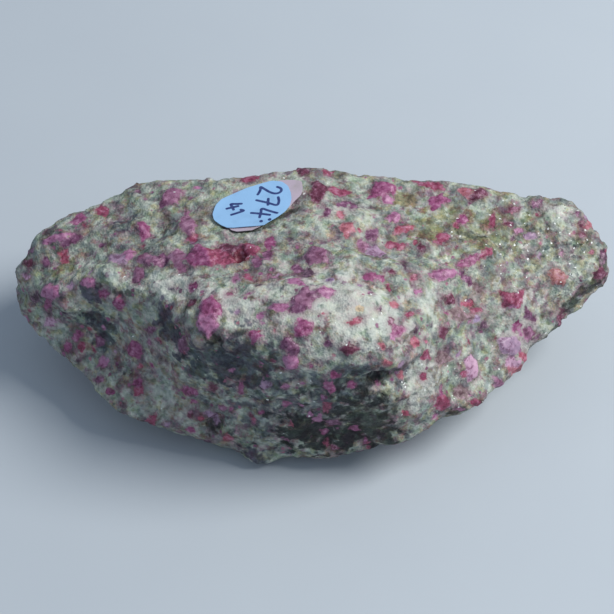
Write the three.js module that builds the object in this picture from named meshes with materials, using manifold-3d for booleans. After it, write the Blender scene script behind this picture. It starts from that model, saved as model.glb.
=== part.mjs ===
// A hand specimen of ruby in zoisite: one broken lump of green-grey rock with ruby crystals grown into it,
// and two small paper labels stuck one over the other on its top. Millimetres, +Z up.
import * as THREE from "three";
import { ConvexHull } from "three/addons/math/ConvexHull.js";
import { ImprovedNoise } from "three/addons/math/ImprovedNoise.js";
import { mergeVertices } from "three/addons/utils/BufferGeometryUtils.js";
import Module from "manifold-3d";

const wasm = await Module();
wasm.setup();

// Corners of the broken lump: x to the right, y away from the front, z up from what it stands on.
const BACK_RIM = [
  [-64.5, -6, 24.5], [-61.5, -2.5, 28], [-58, 1, 30], [-54, 2.5, 31], [-51.5, 4.5, 31.5], [-47.5, 5, 32.5],
  [-44.5, 6, 33.5], [-42, 6.5, 34.5], [-38.5, 8, 35.5], [-36, 9.5, 36], [-32.5, 9.5, 36.5], [-29.5, 9, 36.5],
  [-26, 8, 37], [-22.5, 8, 37.5], [-18.5, 8, 38], [-13.5, 9, 38.5], [-10.5, 9.5, 39], [-5.5, 10, 39.5],
  [-1, 11.5, 40], [4, 11, 40], [9, 10.5, 39], [14.5, 10.5, 38.5], [19.5, 9.5, 38], [25, 10, 37.5],
  [30, 8, 37], [34.5, 7.5, 37], [39, 8.5, 36.5], [42, 8.5, 36], [45, 7.5, 35.5], [48.5, 6.5, 35.5],
  [52, 6.5, 35.5], [55, 7, 36.5], [57.5, 7.5, 37.5], [60.5, 5.5, 36], [63, 3.5, 34.5], [65.5, 2, 33],
  [66.5, 0.5, 31.5], [67.5, -2, 29], [68, -5, 26], [68, -6.5, 23],
];
const FRONT_FOOT = [
  [67.5, -6.5, 20.5], [64.5, -9, 19], [60.5, -12, 18], [57, -15.5, 17.5], [53, -18.5, 16.5], [50, -21, 16],
  [49, -23.5, 15], [45.5, -27.5, 14.5], [42.5, -31, 14.5], [40, -34.5, 14.5], [36.5, -37, 15],
  [31.5, -38, 15], [27.5, -39.5, 15], [25.5, -41, 14], [22.5, -42.5, 13], [19, -43, 12.5], [15.5, -42, 10],
  [12, -42, 8], [8, -41.5, 6.5], [3.5, -41.5, 5.5], [-0.5, -41, 5], [-4, -41, 3.5], [-6.5, -42, 2.5],
  [-10, -42, 2.5], [-13, -40.5, 4], [-15.5, -39.5, 5], [-18.5, -38.5, 6.5], [-21.5, -38, 7], [-25, -37, 7.5],
  [-28.5, -37, 8.5], [-31.5, -36, 9], [-35, -34.5, 9.5], [-38, -33.5, 9.5], [-42, -31.5, 10],
  [-45.5, -28, 11], [-48.5, -25, 12], [-50.5, -23, 12.5], [-53, -19.5, 13], [-57.5, -16.5, 14],
  [-59.5, -13.5, 15], [-61.5, -10.5, 16.5], [-63.5, -8.5, 18], [-63.5, -6, 20],
];
const FRONT_RIDGE = [
  [-55, -15.5, 27], [-49.5, -16.5, 31], [-44, -17.5, 33], [-35, -21.5, 36], [-29.5, -24.5, 37], [-24, -30, 38],
  [-18.5, -36, 39], [-11.5, -35.5, 41], [-4.5, -38, 42], [-0.5, -38.5, 42], [7.5, -39, 40], [13, -39.5, 38],
  [18, -42, 37], [20.5, -43, 26.5], [21, -43, 18],
];
const TOP = [
  [-53.5, -7.5, 30], [-45.5, -6, 33.5], [-36, -5.5, 36.5], [-25, -9, 38.5], [-33, -16.5, 37.5], [-42, -14, 35],
  [-23, -1.5, 38.5], [-12, 0.5, 39.5], [-3.5, -1.5, 40], [-14, -11.5, 40], [-20, -23, 41.5], [-11.5, -29.5, 43],
  [-3.5, -30, 43.5], [-1.5, -17.5, 41.5], [5.5, -27.5, 44], [5, -15.5, 42.5], [14, -29.5, 43],
  [7.5, -35, 43.5], [16, -36.5, 40.5], [9, -3.5, 40.5],
];
const TROUGH = [[17.5, -9, 38.5], [28.5, -4.5, 36.5], [39.5, 0, 34.5], [47.5, 3.5, 33]];
const RIGHT_CREST = [
  [23.5, -21, 39.5], [25.5, -28.5, 35.5], [34.5, -13.5, 36.5], [43.5, -7.5, 33.5], [50.5, -4, 31.5],
  [55, -1.5, 33.5], [58, -1.5, 32],
];
const RIGHT_FACE = [
  [20, -39, 29], [28, -32.5, 27], [34.5, -26, 26], [30.5, -35.5, 18.5], [37, -29.5, 18.5], [41.5, -21, 23],
  [45.5, -22.5, 20], [51.5, -14, 25], [57, -11.5, 25], [61.5, -8.5, 27],
];
const FRONT_FACE = [
  [-1.5, -41.5, 37], [6.5, -41.5, 34], [-3.5, -41.5, 27], [7, -41.5, 24.5], [16.5, -42.5, 27], [0.5, -41.5, 15],
  [11, -41, 15], [17, -42.5, 18], [-8, -41, 14],
];
const FRONT_HOLLOW = [
  [-26.5, -30.5, 33], [-20, -36, 33], [-11.5, -37, 33], [-22.5, -35, 22], [-14, -38.5, 25], [-20.5, -37, 12],
  [-14, -39, 13],
];
const LEFT_FACE = [
  [-53.5, -15.5, 21.5], [-46.5, -17.5, 25], [-40, -20, 26], [-33, -24.5, 29], [-47, -20, 17], [-38, -23.5, 18],
  [-31.5, -28.5, 19], [-40.5, -29.5, 13], [-31.5, -32, 12.5], [-54, -16.5, 16],
];
const BACK_NOTCH = [[46, 10.5, 30.5], [51, 10.5, 29], [56, 9.5, 31]];
const BACK_WALL = [
  [-58, 4, 18], [-48, 12, 20], [-36, 16, 22], [-22, 17, 24], [-8, 18, 22], [6, 19, 25], [20, 17, 22],
  [34, 17, 24], [48, 15, 20], [58, 9, 18], [64, -2, 16],
  [-50, 8, 8], [-34, 15, 7], [-14, 17, 6], [6, 18, 7], [26, 16, 6], [44, 12, 9], [55, 3, 11],
];
const UNDERSIDE = [
  [-34, -20, -1], [-36, -4, -1], [-26, 8, -1], [-8, 11, -1], [10, 11, -1], [24, 4, -1], [26, -12, -1],
  [16, -28, -1], [0, -35, -1], [-14, -34, -1], [-26, -28, -1], [-52, -6, 9], [44, -8, 8], [40, -20, 7],
];
const CORNERS = [
  BACK_RIM, FRONT_FOOT, FRONT_RIDGE, TOP, TROUGH, RIGHT_CREST, RIGHT_FACE, FRONT_FACE, FRONT_HOLLOW, LEFT_FACE,
  BACK_NOTCH, BACK_WALL, UNDERSIDE,
].flat();

// The heart of the stone, from which every corner can be seen, and the stone's half size.
const HEART = new THREE.Vector3(0, -13, 21);
const HALF_SIZE = new THREE.Vector3(65, 28, 21);

// The relief of the broken surface: lumps at three sizes, and flat chips with a step between neighbours.
// Rounding the creases shrinks the stone a little, which is regained all over.
const POINT_SPACING = 2.7;
const CORNER_SPACING = 1.35;
const CREASE_SPACING = 2.2;
const TRIES_PER_AREA = 1.2;
const CREASE_ANGLE = THREE.MathUtils.degToRad(22);
const SMOOTH_PASSES = 2;
const SMOOTH_SHARE = 0.3;
const REGAINED = 0.45;
const LUMPS = [{ width: 15, rise: 0.7 }, { width: 6.5, rise: 0.55 }, { width: 3.2, rise: 0.35 }];
const CHIP_WIDTH = 8;
const CHIP_TILT = 0.16;
const CHIP_STEP = 0.5;

// How the picture of the specimen was taken: the places of crystals and labels are read from its points.
const PICTURE_MIDDLE = 307;
const MM_PER_POINT = 0.2185;
const LOOK_DOWN = THREE.MathUtils.degToRad(50);
const EYE_DISTANCE = 430;
const LOOK_AT = new THREE.Vector3(1.1, -12, 20);

// The larger rubies: picture point, real length and width, turn of the length from level, height above the rock.
const RUBIES = [
  { at: [203, 255], long: 6.5, wide: 4.2, turn: 0, proud: 0.7 },
  { at: [243, 254], long: 8, wide: 5.2, turn: -8, proud: 0.8 },
  { at: [150, 261], long: 8.5, wide: 3.6, turn: -4, proud: 0.7 },
  { at: [121, 257], long: 6.5, wide: 3.2, turn: 14, proud: 0.6 },
  { at: [208, 312], long: 9.5, wide: 4.6, turn: 84, proud: 0.9 },
  { at: [302, 301], long: 6.4, wide: 5, turn: 60, proud: 0.8 },
  { at: [323, 291], long: 4.6, wide: 3, turn: 4, proud: 0.8 },
  { at: [303, 328], long: 4.6, wide: 4.2, turn: 20, proud: 0.7 },
  { at: [290, 354], long: 7.6, wide: 3.4, turn: 96, proud: 0.8 },
  { at: [281, 306], long: 4, wide: 3.2, turn: 15, proud: 0.7 },
  { at: [316, 254], long: 5.8, wide: 4.4, turn: 50, proud: 0.7 },
  { at: [319, 191], long: 5.6, wide: 4.6, turn: 75, proud: 0.7 },
  { at: [382, 191], long: 6.2, wide: 5, turn: 35, proud: 0.8 },
  { at: [187, 226], long: 7.6, wide: 3.6, turn: 100, proud: 0.7 },
  { at: [172, 196], long: 5, wide: 3.8, turn: 30, proud: 0.7 },
  { at: [143, 230], long: 4.2, wide: 3, turn: 70, proud: 0.6 },
  { at: [48, 293], long: 4.4, wide: 3.6, turn: 10, proud: 0.7 },
  { at: [56, 238], long: 6, wide: 2.4, turn: 20, proud: 0.6 },
  { at: [88, 282], long: 3.4, wide: 2.4, turn: 0, proud: 0.5 },
  { at: [446, 274], long: 5.4, wide: 2.8, turn: 10, proud: 0.6 },
  { at: [474, 258], long: 8.5, wide: 2.4, turn: 18, proud: 0.6 },
  { at: [374, 277], long: 4.6, wide: 2.8, turn: 12, proud: 0.6 },
  { at: [403, 228], long: 5, wide: 2.8, turn: 8, proud: 0.6 },
  { at: [396, 245], long: 5.2, wide: 2.4, turn: 0, proud: 0.6 },
  { at: [394, 216], long: 3.8, wide: 3.4, turn: 30, proud: 0.6 },
  { at: [438, 205], long: 5, wide: 3.4, turn: -10, proud: 0.7 },
  { at: [477, 194], long: 5.2, wide: 3, turn: -6, proud: 0.7 },
  { at: [515, 297], long: 5.6, wide: 5, turn: 30, proud: 0.8 },
  { at: [558, 278], long: 4.4, wide: 4, turn: 0, proud: 0.6 },
  { at: [511, 346], long: 5, wide: 4.8, turn: 40, proud: 0.7 },
  { at: [517, 364], long: 4.4, wide: 3.8, turn: 40, proud: 0.7 },
  { at: [471, 367], long: 5.4, wide: 3.2, turn: 96, proud: 0.8 },
  { at: [442, 400], long: 4.8, wide: 3.6, turn: 80, proud: 0.8 },
  { at: [531, 318], long: 3.8, wide: 2.6, turn: 100, proud: 0.6 },
  { at: [450, 298], long: 3, wide: 2.8, turn: 0, proud: 0.7 },
  { at: [462, 315], long: 5.6, wide: 3, turn: -14, proud: 0.5 },
  { at: [349, 350], long: 3.8, wide: 3, turn: 0, proud: 0.6 },
  { at: [255, 337], long: 3.2, wide: 2.8, turn: 40, proud: 0.6 },
  { at: [183, 343], long: 4.6, wide: 2.8, turn: 80, proud: 0.5 },
  { at: [134, 350], long: 3.6, wide: 3, turn: 60, proud: 0.6 },
  { at: [137, 384], long: 3.6, wide: 3, turn: 80, proud: 0.6 },
  { at: [187, 391], long: 4.6, wide: 2.6, turn: -12, proud: 0.6 },
  { at: [329, 386], long: 3, wide: 2.4, turn: 90, proud: 0.6 },
  { at: [596, 268], long: 3.2, wide: 2.6, turn: 30, proud: 0.6 },
];
// Pits where crystals broke away: picture point, real length, width and turn, depth below the rock.
const PITS = [
  { at: [240, 257], long: 3.6, wide: 3, turn: 40, deep: 1.5 },
  { at: [213, 338], long: 3.4, wide: 2.4, turn: 0, deep: 1.6 },
  { at: [378, 377], long: 5.4, wide: 4, turn: -10, deep: 1.8 },
  { at: [163, 262], long: 2.6, wide: 2, turn: 70, deep: 1.2 },
  { at: [100, 291], long: 5, wide: 2.4, turn: -10, deep: 1.4 },
  { at: [216, 424], long: 4.6, wide: 3.4, turn: 30, deep: 1.6 },
  { at: [566, 318], long: 4.4, wide: 2, turn: 30, deep: 1.5 },
];
// Rubies on the sides that the picture doesn't show: an even spread of directions from the heart of the stone
// over its back and under it, in degrees round from the right end and up from level.
const HIDDEN_RUBIES = 24;
const HIDDEN_ROUND = { least: 4, most: 176 };
const HIDDEN_UP = { least: -34, most: 24 };
const HIDDEN_LENGTH = { least: 3.4, most: 7.6 };
const HIDDEN_WIDTH_SHARE = { least: 0.5, most: 0.85 };
const HIDDEN_TURN = { least: 0, most: 180 };
const HIDDEN_PROUD = 0.65;
const SPREAD_STEPS = [0.7548777, 0.5698403, 0.6180340, 0.3819660, 0.4142136];

// How deep a crystal reaches into the rock, its bevelled rim, and how far its flat top leans.
const CRYSTAL_DEPTH = 3;
const CRYSTAL_BEVEL = 0.35;
const CRYSTAL_LEAN = 0.24;
const CORNER_WANDER = 0.26;
const SKIN_REACH = 4;

// The labels: outlines on the flat seat that carries them, measured from the middle of the blue one.
const SEAT_AT = [252, 207];
const SEAT_HALF_LENGTH = 15;
const SEAT_HALF_WIDTH = 10.6;
const SEAT_BLEND = 0.25;
const SEAT_REACH = 9;
const BLUE_OUTLINE = [
  [-8.4, -2], [-7.8, 0.6], [-6.5, 2.5], [-4.3, 3.8], [-1.1, 5.4], [2.2, 6.5], [4.3, 7.1], [6.5, 6.5], [7.8, 5.1],
  [8.4, 3.1], [8.6, 1.1], [8.2, -1.1], [7.3, -2.8], [5.6, -4.5], [3.7, -5.8], [2.6, -6.8], [-4.8, -6.8],
  [-6.5, -5.6], [-8, -3.9],
];
const BACKING_OUTLINE = [
  [-4.5, 2.5], [5.4, 7.3], [8.6, 7.2], [10.8, 6.5], [11, 4.2], [10.6, 2.3], [9.1, 0.3], [8.2, -1.4], [0.8, -7.7],
  [-3.7, -7.7], [-6.5, -4.5],
];
const PAPER = 0.25;
const PAPER_GAP = 0.25;

// The block that cuts the underside off flat at height 0.
const CUT_SIZE = 300;

const ROCK_COLOR = 0x8f9588;
const OLD_PAPER_COLOR = 0xb9b4c4;
const BLUE_PAPER_COLOR = 0x8fb4dc;
const ROCK_ROUGHNESS = 0.8;
const PAPER_ROUGHNESS = 0.75;

const random = seededRandom(27);
const noise = new ImprovedNoise();

// A repeatable row of numbers between 0 and 1.
function seededRandom(seed) {
  let state = seed;
  return () => {
    state = (state + 0x6d2b79f5) | 0;
    let mixed = Math.imul(state ^ (state >>> 15), 1 | state);
    mixed = (mixed + Math.imul(mixed ^ (mixed >>> 7), 61 | mixed)) ^ mixed;
    return ((mixed ^ (mixed >>> 14)) >>> 0) / 4294967296;
  };
}

const between = ({ least, most }, share) => least + (most - least) * share;
const eitherWay = (most) => most * (2 * random() - 1);
const randomDirection = () => new THREE.Vector3(eitherWay(1), eitherWay(1), eitherWay(1)).normalize();

// Points joined into a closed skin: each is seen from the heart of the stone as a direction,
// and the hull of those directions says which points are neighbours.
function joinAroundHeart(points) {
  const seen = points.map((point) => point.clone().sub(HEART).divide(HALF_SIZE).normalize());
  const placeOf = new Map(seen.map((direction, index) => [direction, index]));
  const hull = new ConvexHull().setFromPoints(seen);
  const triangles = hull.faces.map(({ edge }) =>
    [edge.head(), edge.next.head(), edge.next.next.head()].map((vertex) => placeOf.get(vertex.point)));
  return { points, triangles };
}

const triangleOf = ({ points }, corners) => new THREE.Triangle(...corners.map((index) => points[index]));

// The edges of a skin where its two faces meet at more than the crease angle.
function creasesOf(skin) {
  const edges = new Map();
  for (const corners of skin.triangles) {
    const normal = triangleOf(skin, corners).getNormal(new THREE.Vector3());
    corners.forEach((corner, i) => {
      const ends = [corner, corners[(i + 1) % 3]].sort((a, b) => a - b);
      const edge = edges.get(ends.join()) ?? { ends, normals: [] };
      edge.normals.push(normal);
      edges.set(ends.join(), edge);
    });
  }
  return [...edges.values()].filter(({ normals }) => normals[0].angleTo(normals[1]) > CREASE_ANGLE);
}

const CELLS_AROUND = [-1, 0, 1].flatMap((i) => [-1, 0, 1].flatMap((j) => [-1, 0, 1].map((k) => [i, j, k])));

// Keeps the points offered to it that aren't nearer than a given distance to one already kept.
class Sieve {
  constructor(cellSize) {
    this.cellSize = cellSize;
    this.cells = new Map();
    this.kept = [];
  }

  offer(point, nearest) {
    const [x, y, z] = point.toArray().map((value) => Math.floor(value / this.cellSize));
    const crowded = CELLS_AROUND.some(([i, j, k]) =>
      (this.cells.get([x + i, y + j, z + k].join()) ?? []).some((other) => other.distanceTo(point) < nearest));
    if (crowded) return;
    const home = this.cells.get([x, y, z].join()) ?? [];
    home.push(point);
    this.cells.set([x, y, z].join(), home);
    this.kept.push(point);
  }
}

function randomPointOn({ a, b, c }) {
  const root = Math.sqrt(random());
  const side = random();
  return new THREE.Vector3()
    .addScaledVector(a, 1 - root).addScaledVector(b, root * (1 - side)).addScaledVector(c, root * side);
}

// Points spread evenly over a skin: its corners and creases first, then its faces.
function spreadPoints(skin) {
  const sieve = new Sieve(POINT_SPACING);
  skin.points.forEach((point) => sieve.offer(point, CORNER_SPACING));
  for (const { ends } of creasesOf(skin)) {
    const [from, to] = ends.map((index) => skin.points[index]);
    const steps = Math.ceil(from.distanceTo(to) / POINT_SPACING);
    for (let i = 1; i < steps; i++) sieve.offer(from.clone().lerp(to, i / steps), CREASE_SPACING);
  }
  for (const corners of skin.triangles) {
    const face = triangleOf(skin, corners);
    const tries = Math.round(face.getArea() * TRIES_PER_AREA);
    for (let i = 0; i < tries; i++) sieve.offer(randomPointOn(face), POINT_SPACING);
  }
  return sieve.kept;
}

// Each point's outward normal, from the faces around it.
function normalsOf(skin) {
  const normals = skin.points.map(() => new THREE.Vector3());
  for (const corners of skin.triangles) {
    const face = triangleOf(skin, corners);
    const normal = face.getNormal(new THREE.Vector3()).multiplyScalar(face.getArea());
    corners.forEach((index) => normals[index].add(normal));
  }
  return normals.map((normal) => normal.normalize());
}

// Moves every point a share of the way to the middle of its neighbours.
function smooth({ points, triangles }) {
  const neighbours = points.map(() => new Set());
  for (const corners of triangles) {
    corners.forEach((corner, i) => neighbours[corner].add(corners[(i + 1) % 3]));
  }
  const middles = neighbours.map((around) => {
    const sum = [...around].reduce((total, index) => total.add(points[index]), new THREE.Vector3());
    return sum.divideScalar(around.size);
  });
  return { points: points.map((point, i) => point.clone().lerp(middles[i], SMOOTH_SHARE)), triangles };
}

// Flat chips over the skin, each with its own tilt and step.
function chipsOver(points) {
  const sieve = new Sieve(CHIP_WIDTH);
  points.forEach((point) => sieve.offer(point, CHIP_WIDTH));
  return sieve.kept.map((middle) => ({
    middle: middle.clone(), tilt: randomDirection().multiplyScalar(CHIP_TILT), step: eitherWay(CHIP_STEP),
  }));
}

// Lifts and sinks the points of a skin along its normals by the lumps and the chip that each lies on.
function roughen(skin) {
  const normals = normalsOf(skin);
  const chips = chipsOver(skin.points);
  const points = skin.points.map((point, i) => {
    const chip = chips.reduce((best, other) =>
      (other.middle.distanceToSquared(point) < best.middle.distanceToSquared(point) ? other : best));
    const slope = THREE.MathUtils.clamp(point.clone().sub(chip.middle).dot(chip.tilt), -CHIP_STEP, CHIP_STEP);
    const lumps = LUMPS.reduce((sum, { width, rise }) =>
      sum + rise * noise.noise(point.x / width, point.y / width, point.z / width), 0);
    return point.clone().addScaledVector(normals[i], REGAINED + chip.step + slope + lumps);
  });
  return { points, triangles: skin.triangles };
}

// The line of sight through a point of the picture.
function sightLine([across, down]) {
  const forward = new THREE.Vector3(0, Math.cos(LOOK_DOWN), -Math.sin(LOOK_DOWN));
  const pictureUp = new THREE.Vector3(0, Math.sin(LOOK_DOWN), Math.cos(LOOK_DOWN));
  const eye = LOOK_AT.clone().addScaledVector(forward, -EYE_DISTANCE);
  const target = LOOK_AT.clone().addScaledVector(pictureUp, (PICTURE_MIDDLE - down) * MM_PER_POINT);
  target.x += (across - PICTURE_MIDDLE) * MM_PER_POINT;
  return new THREE.Ray(eye, target.sub(eye).normalize());
}

// Where a ray first meets the skin, with the skin's mean normal around that place.
function meet(skin, ray, reach = SKIN_REACH) {
  let place = null;
  for (const corners of skin.triangles) {
    const hit = ray.intersectTriangle(...corners.map((index) => skin.points[index]), false, new THREE.Vector3());
    if (hit && (!place || hit.distanceTo(ray.origin) < place.distanceTo(ray.origin))) place = hit;
  }
  const normal = new THREE.Vector3();
  skin.points.forEach((point, i) => {
    if (point.distanceTo(place) < reach) normal.add(skin.normals[i]);
  });
  return { place, normal: normal.normalize() };
}

// A frame of axes with the given normal, whose length runs along a direction that the picture gives.
function frameAt({ place, normal }, along) {
  const length = along.clone().addScaledVector(normal, -along.dot(normal)).normalize();
  const width = normal.clone().cross(length);
  return new THREE.Matrix4().makeBasis(length, width, normal).setPosition(place);
}

// The direction on the rock that looks turned by an angle from level in the picture.
function directionInPicture([across, down], turn, { place, normal }) {
  const angle = THREE.MathUtils.degToRad(turn);
  const next = sightLine([across + Math.cos(angle), down - Math.sin(angle)]);
  const rock = new THREE.Plane().setFromNormalAndCoplanarPoint(normal, place);
  return next.intersectPlane(rock, new THREE.Vector3()).sub(place);
}

function solidOf(geometry) {
  geometry.deleteAttribute("normal");
  geometry.deleteAttribute("uv");
  const merged = mergeVertices(geometry, 1e-5);
  const vertProperties = new Float32Array(merged.attributes.position.array);
  const triVerts = new Uint32Array(merged.index.array);
  return new wasm.Manifold(new wasm.Mesh({ numProp: 3, vertProperties, triVerts }));
}

function geometryOf(solid) {
  const { vertProperties, triVerts } = solid.getMesh();
  const geometry = new THREE.BufferGeometry();
  geometry.setAttribute("position", new THREE.BufferAttribute(vertProperties, 3));
  geometry.setIndex(new THREE.BufferAttribute(triVerts, 1));
  return geometry;
}

function skinGeometry({ points, triangles }) {
  const geometry = new THREE.BufferGeometry().setFromPoints(points);
  geometry.setIndex(triangles.flat());
  return geometry;
}

// A six-sided crystal with a bevelled rim, its top at the given height over the origin of its own axes.
function crystal(long, wide, top, depth) {
  const outline = new THREE.Shape([0, 1, 2, 3, 4, 5].map((corner) => {
    const angle = (corner * Math.PI) / 3 + eitherWay(CORNER_WANDER);
    return new THREE.Vector2((Math.cos(angle) * long) / 2, (Math.sin(angle) * wide) / 2 / Math.sin(Math.PI / 3));
  }));
  const geometry = new THREE.ExtrudeGeometry(outline, {
    depth: depth - CRYSTAL_BEVEL, steps: 1, bevelEnabled: true, bevelSegments: 1,
    bevelThickness: CRYSTAL_BEVEL, bevelSize: CRYSTAL_BEVEL, bevelOffset: -CRYSTAL_BEVEL,
  });
  return geometry.translate(0, 0, top - depth);
}

// A crystal or the hollow that one left, set in the rock at a place of the picture.
function crystalInPicture(skin, { at, long, wide, turn }, top, depth) {
  const spot = meet(skin, sightLine(at));
  const along = directionInPicture(at, turn, spot);
  spot.normal.addScaledVector(randomDirection(), CRYSTAL_LEAN).normalize();
  return solidOf(crystal(long, wide, top, depth).applyMatrix4(frameAt(spot, along)));
}

// A crystal on the sides that the picture doesn't show, its place and size from an even spread of numbers.
function hiddenCrystal(skin, index) {
  const [round, up, length, width, turn] = SPREAD_STEPS.map((step) => (0.5 + step * index) % 1);
  const azimuth = THREE.MathUtils.degToRad(between(HIDDEN_ROUND, round));
  const rise = THREE.MathUtils.degToRad(between(HIDDEN_UP, up));
  const outward = new THREE.Vector3(
    Math.cos(rise) * Math.cos(azimuth), Math.cos(rise) * Math.sin(azimuth), Math.sin(rise));
  const spot = meet(skin, new THREE.Ray(HEART, outward));
  const long = between(HIDDEN_LENGTH, length);
  const shape = crystal(long, long * between(HIDDEN_WIDTH_SHARE, width), HIDDEN_PROUD, CRYSTAL_DEPTH);
  const level = outward.clone().cross(new THREE.Vector3(0, 0, 1));
  const along = level.applyAxisAngle(spot.normal, THREE.MathUtils.degToRad(between(HIDDEN_TURN, turn)));
  return solidOf(shape.applyMatrix4(frameAt(spot, along)));
}

// Presses the skin flat where the labels lie. The seat's axes run along the stone, across it and up.
function pressSeat(skin) {
  const spot = meet(skin, sightLine(SEAT_AT), SEAT_REACH);
  const seat = frameAt(spot, new THREE.Vector3(1, 0, 0));
  const intoSeat = seat.clone().invert();
  const points = skin.points.map((point) => {
    const local = point.clone().applyMatrix4(intoSeat);
    const out = Math.hypot(local.x / SEAT_HALF_LENGTH, local.y / SEAT_HALF_WIDTH);
    const nearby = Math.abs(local.z) < SEAT_REACH;
    const pressed = nearby ? 1 - THREE.MathUtils.smoothstep(out, 1, 1 + SEAT_BLEND) : 0;
    return local.setZ(local.z * (1 - pressed)).applyMatrix4(seat);
  });
  return { seat, skin: { points, triangles: skin.triangles } };
}

// The skin of the rock before crystals, with its normals.
function rockSkin() {
  const cage = joinAroundHeart(CORNERS.map((corner) => new THREE.Vector3(...corner)));
  let skin = joinAroundHeart(spreadPoints(cage));
  for (let pass = 0; pass < SMOOTH_PASSES; pass++) skin = smooth(skin);
  skin = roughen(skin);
  return { ...skin, normals: normalsOf(skin) };
}

function stoneSolid(skin) {
  let solid = solidOf(skinGeometry(skin));
  for (const ruby of RUBIES) solid = solid.add(crystalInPicture(skin, ruby, ruby.proud, CRYSTAL_DEPTH));
  for (let index = 0; index < HIDDEN_RUBIES; index++) solid = solid.add(hiddenCrystal(skin, index));
  for (const pit of PITS) {
    solid = solid.subtract(crystalInPicture(skin, pit, CRYSTAL_DEPTH, CRYSTAL_DEPTH + pit.deep));
  }
  const ground = new THREE.BoxGeometry(CUT_SIZE, CUT_SIZE, CUT_SIZE).translate(0, 0, -CUT_SIZE / 2);
  return solid.subtract(solidOf(ground));
}

const material = (color, roughness) => new THREE.MeshStandardMaterial({ color, roughness, metalness: 0 });

// A paper label of an outline on the seat, with its underside at the given height over it.
function label(name, outline, seat, height, color) {
  const shape = new THREE.Shape(outline.map(([x, y]) => new THREE.Vector2(x, y)));
  const geometry = new THREE.ExtrudeGeometry(shape, { depth: PAPER, bevelEnabled: false });
  const mesh = new THREE.Mesh(geometry, material(color, PAPER_ROUGHNESS));
  mesh.name = name;
  mesh.applyMatrix4(seat.clone().multiply(new THREE.Matrix4().makeTranslation(0, 0, height)));
  return mesh;
}

const rock = rockSkin();
const { seat, skin: pressed } = pressSeat(rock);
const stoneGeometry = geometryOf(stoneSolid({ ...pressed, normals: normalsOf(pressed) }));
const stone = new THREE.Mesh(stoneGeometry, material(ROCK_COLOR, ROCK_ROUGHNESS));
stone.name = "stone";

const specimen = new THREE.Group();
specimen.add(stone);
specimen.add(label("backing_label", BACKING_OUTLINE, seat, PAPER_GAP, OLD_PAPER_COLOR));
specimen.add(label("number_label", BLUE_OUTLINE, seat, PAPER + 2 * PAPER_GAP, BLUE_PAPER_COLOR));

// The origin lies under the middle of the stone's footprint.
stoneGeometry.computeBoundingBox();
const middle = stoneGeometry.boundingBox.getCenter(new THREE.Vector3());
specimen.position.set(-middle.x, -middle.y, 0);
export default specimen;
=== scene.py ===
"""A hand specimen of ruby in zoisite: a broken lump of rock with its crystals, and two paper labels."""

import logging
import math
import random
from dataclasses import dataclass, field
from enum import Enum
from typing import Any, Sequence

import bpy
import numpy as np
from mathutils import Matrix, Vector, noise
from mathutils.bvhtree import BVHTree
from mathutils.geometry import delaunay_2d_cdt
from mathutils.kdtree import KDTree


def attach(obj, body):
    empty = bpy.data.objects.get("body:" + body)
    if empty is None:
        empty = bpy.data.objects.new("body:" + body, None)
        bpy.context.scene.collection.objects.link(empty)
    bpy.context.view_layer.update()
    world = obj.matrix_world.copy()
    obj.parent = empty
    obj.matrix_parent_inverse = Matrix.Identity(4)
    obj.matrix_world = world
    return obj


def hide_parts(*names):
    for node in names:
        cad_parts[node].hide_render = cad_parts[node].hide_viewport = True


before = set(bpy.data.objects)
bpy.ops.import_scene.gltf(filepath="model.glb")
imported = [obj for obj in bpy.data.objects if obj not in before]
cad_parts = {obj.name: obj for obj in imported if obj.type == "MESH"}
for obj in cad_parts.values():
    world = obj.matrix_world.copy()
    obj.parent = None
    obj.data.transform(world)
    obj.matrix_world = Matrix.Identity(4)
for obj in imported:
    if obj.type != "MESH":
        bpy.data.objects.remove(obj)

MM = 0.001
BODY = "root"
# Farther from a crystal's edge or a pen line than any shading looks, in millimetres.
FAR = 9.0
# The shares of the stain patches and of the painted shade are kept in this many sets of three.
STAIN_SETS = 3

log = logging.getLogger("specimen")

Point = tuple[float, float]
Stops = tuple[tuple[float, str], ...]
Socket = bpy.types.NodeSocket


def linear(code: str) -> tuple[float, float, float, float]:
    """Turns a six-digit colour code into linear red, green, blue and alpha.

    Args:
        code: Two hexadecimal digits each for red, green and blue.

    Returns:
        The colour as Blender's shaders take it.
    """
    shares = [int(code[i:i + 2], 16) / 255 for i in (0, 2, 4)]
    red, green, blue = [s / 12.92 if s <= 0.04045 else ((s + 0.055) / 1.055) ** 2.4 for s in shares]
    return red, green, blue, 1.0


def grey(value: float) -> tuple[float, float, float, float]:
    """Gives a number in the form of a colour, so that it can be mixed as colours are."""
    return value, value, value, 1.0


def smoothstep(low: float, high: float, values: np.ndarray) -> np.ndarray:
    """Rises smoothly from 0 at low to 1 at high.

    Args:
        low: The value that gives 0.
        high: The value that gives 1; it may be the smaller one.
        values: The values to look up.

    Returns:
        A share from 0 to 1 for each value.
    """
    share = np.clip((values - low) / (high - low), 0, 1)
    return share * share * (3 - 2 * share)


def unit(vector: np.ndarray) -> np.ndarray:
    """Scales one vector, or each row of an array of them, to length 1."""
    return vector / np.maximum(np.linalg.norm(vector, axis=-1, keepdims=True), 1e-12)


def report(piece: bpy.types.Object) -> None:
    """Writes into the log how many points and faces a finished piece has."""
    log.info("%s: %d points, %d faces", piece.name, len(piece.data.vertices), len(piece.data.polygons))


class Tint(Enum):
    """The colours of the ruby crystals."""

    PALE = "ba95ac"
    LILAC = "9a8098"
    PINK = "a46b8e"
    MAGENTA = "8c466e"
    MAUVE = "885a75"
    PLUM = "704361"
    CORAL = "a8646e"
    RED = "a04c5f"
    CRIMSON = "8c3e58"
    WINE = "642c42"
    DARK = "4d3345"
    PIT = "7a3040"
    BROWN = "7b6767"
    BRICK = "9f6a66"
    VIOLET = "8a7896"


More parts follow.
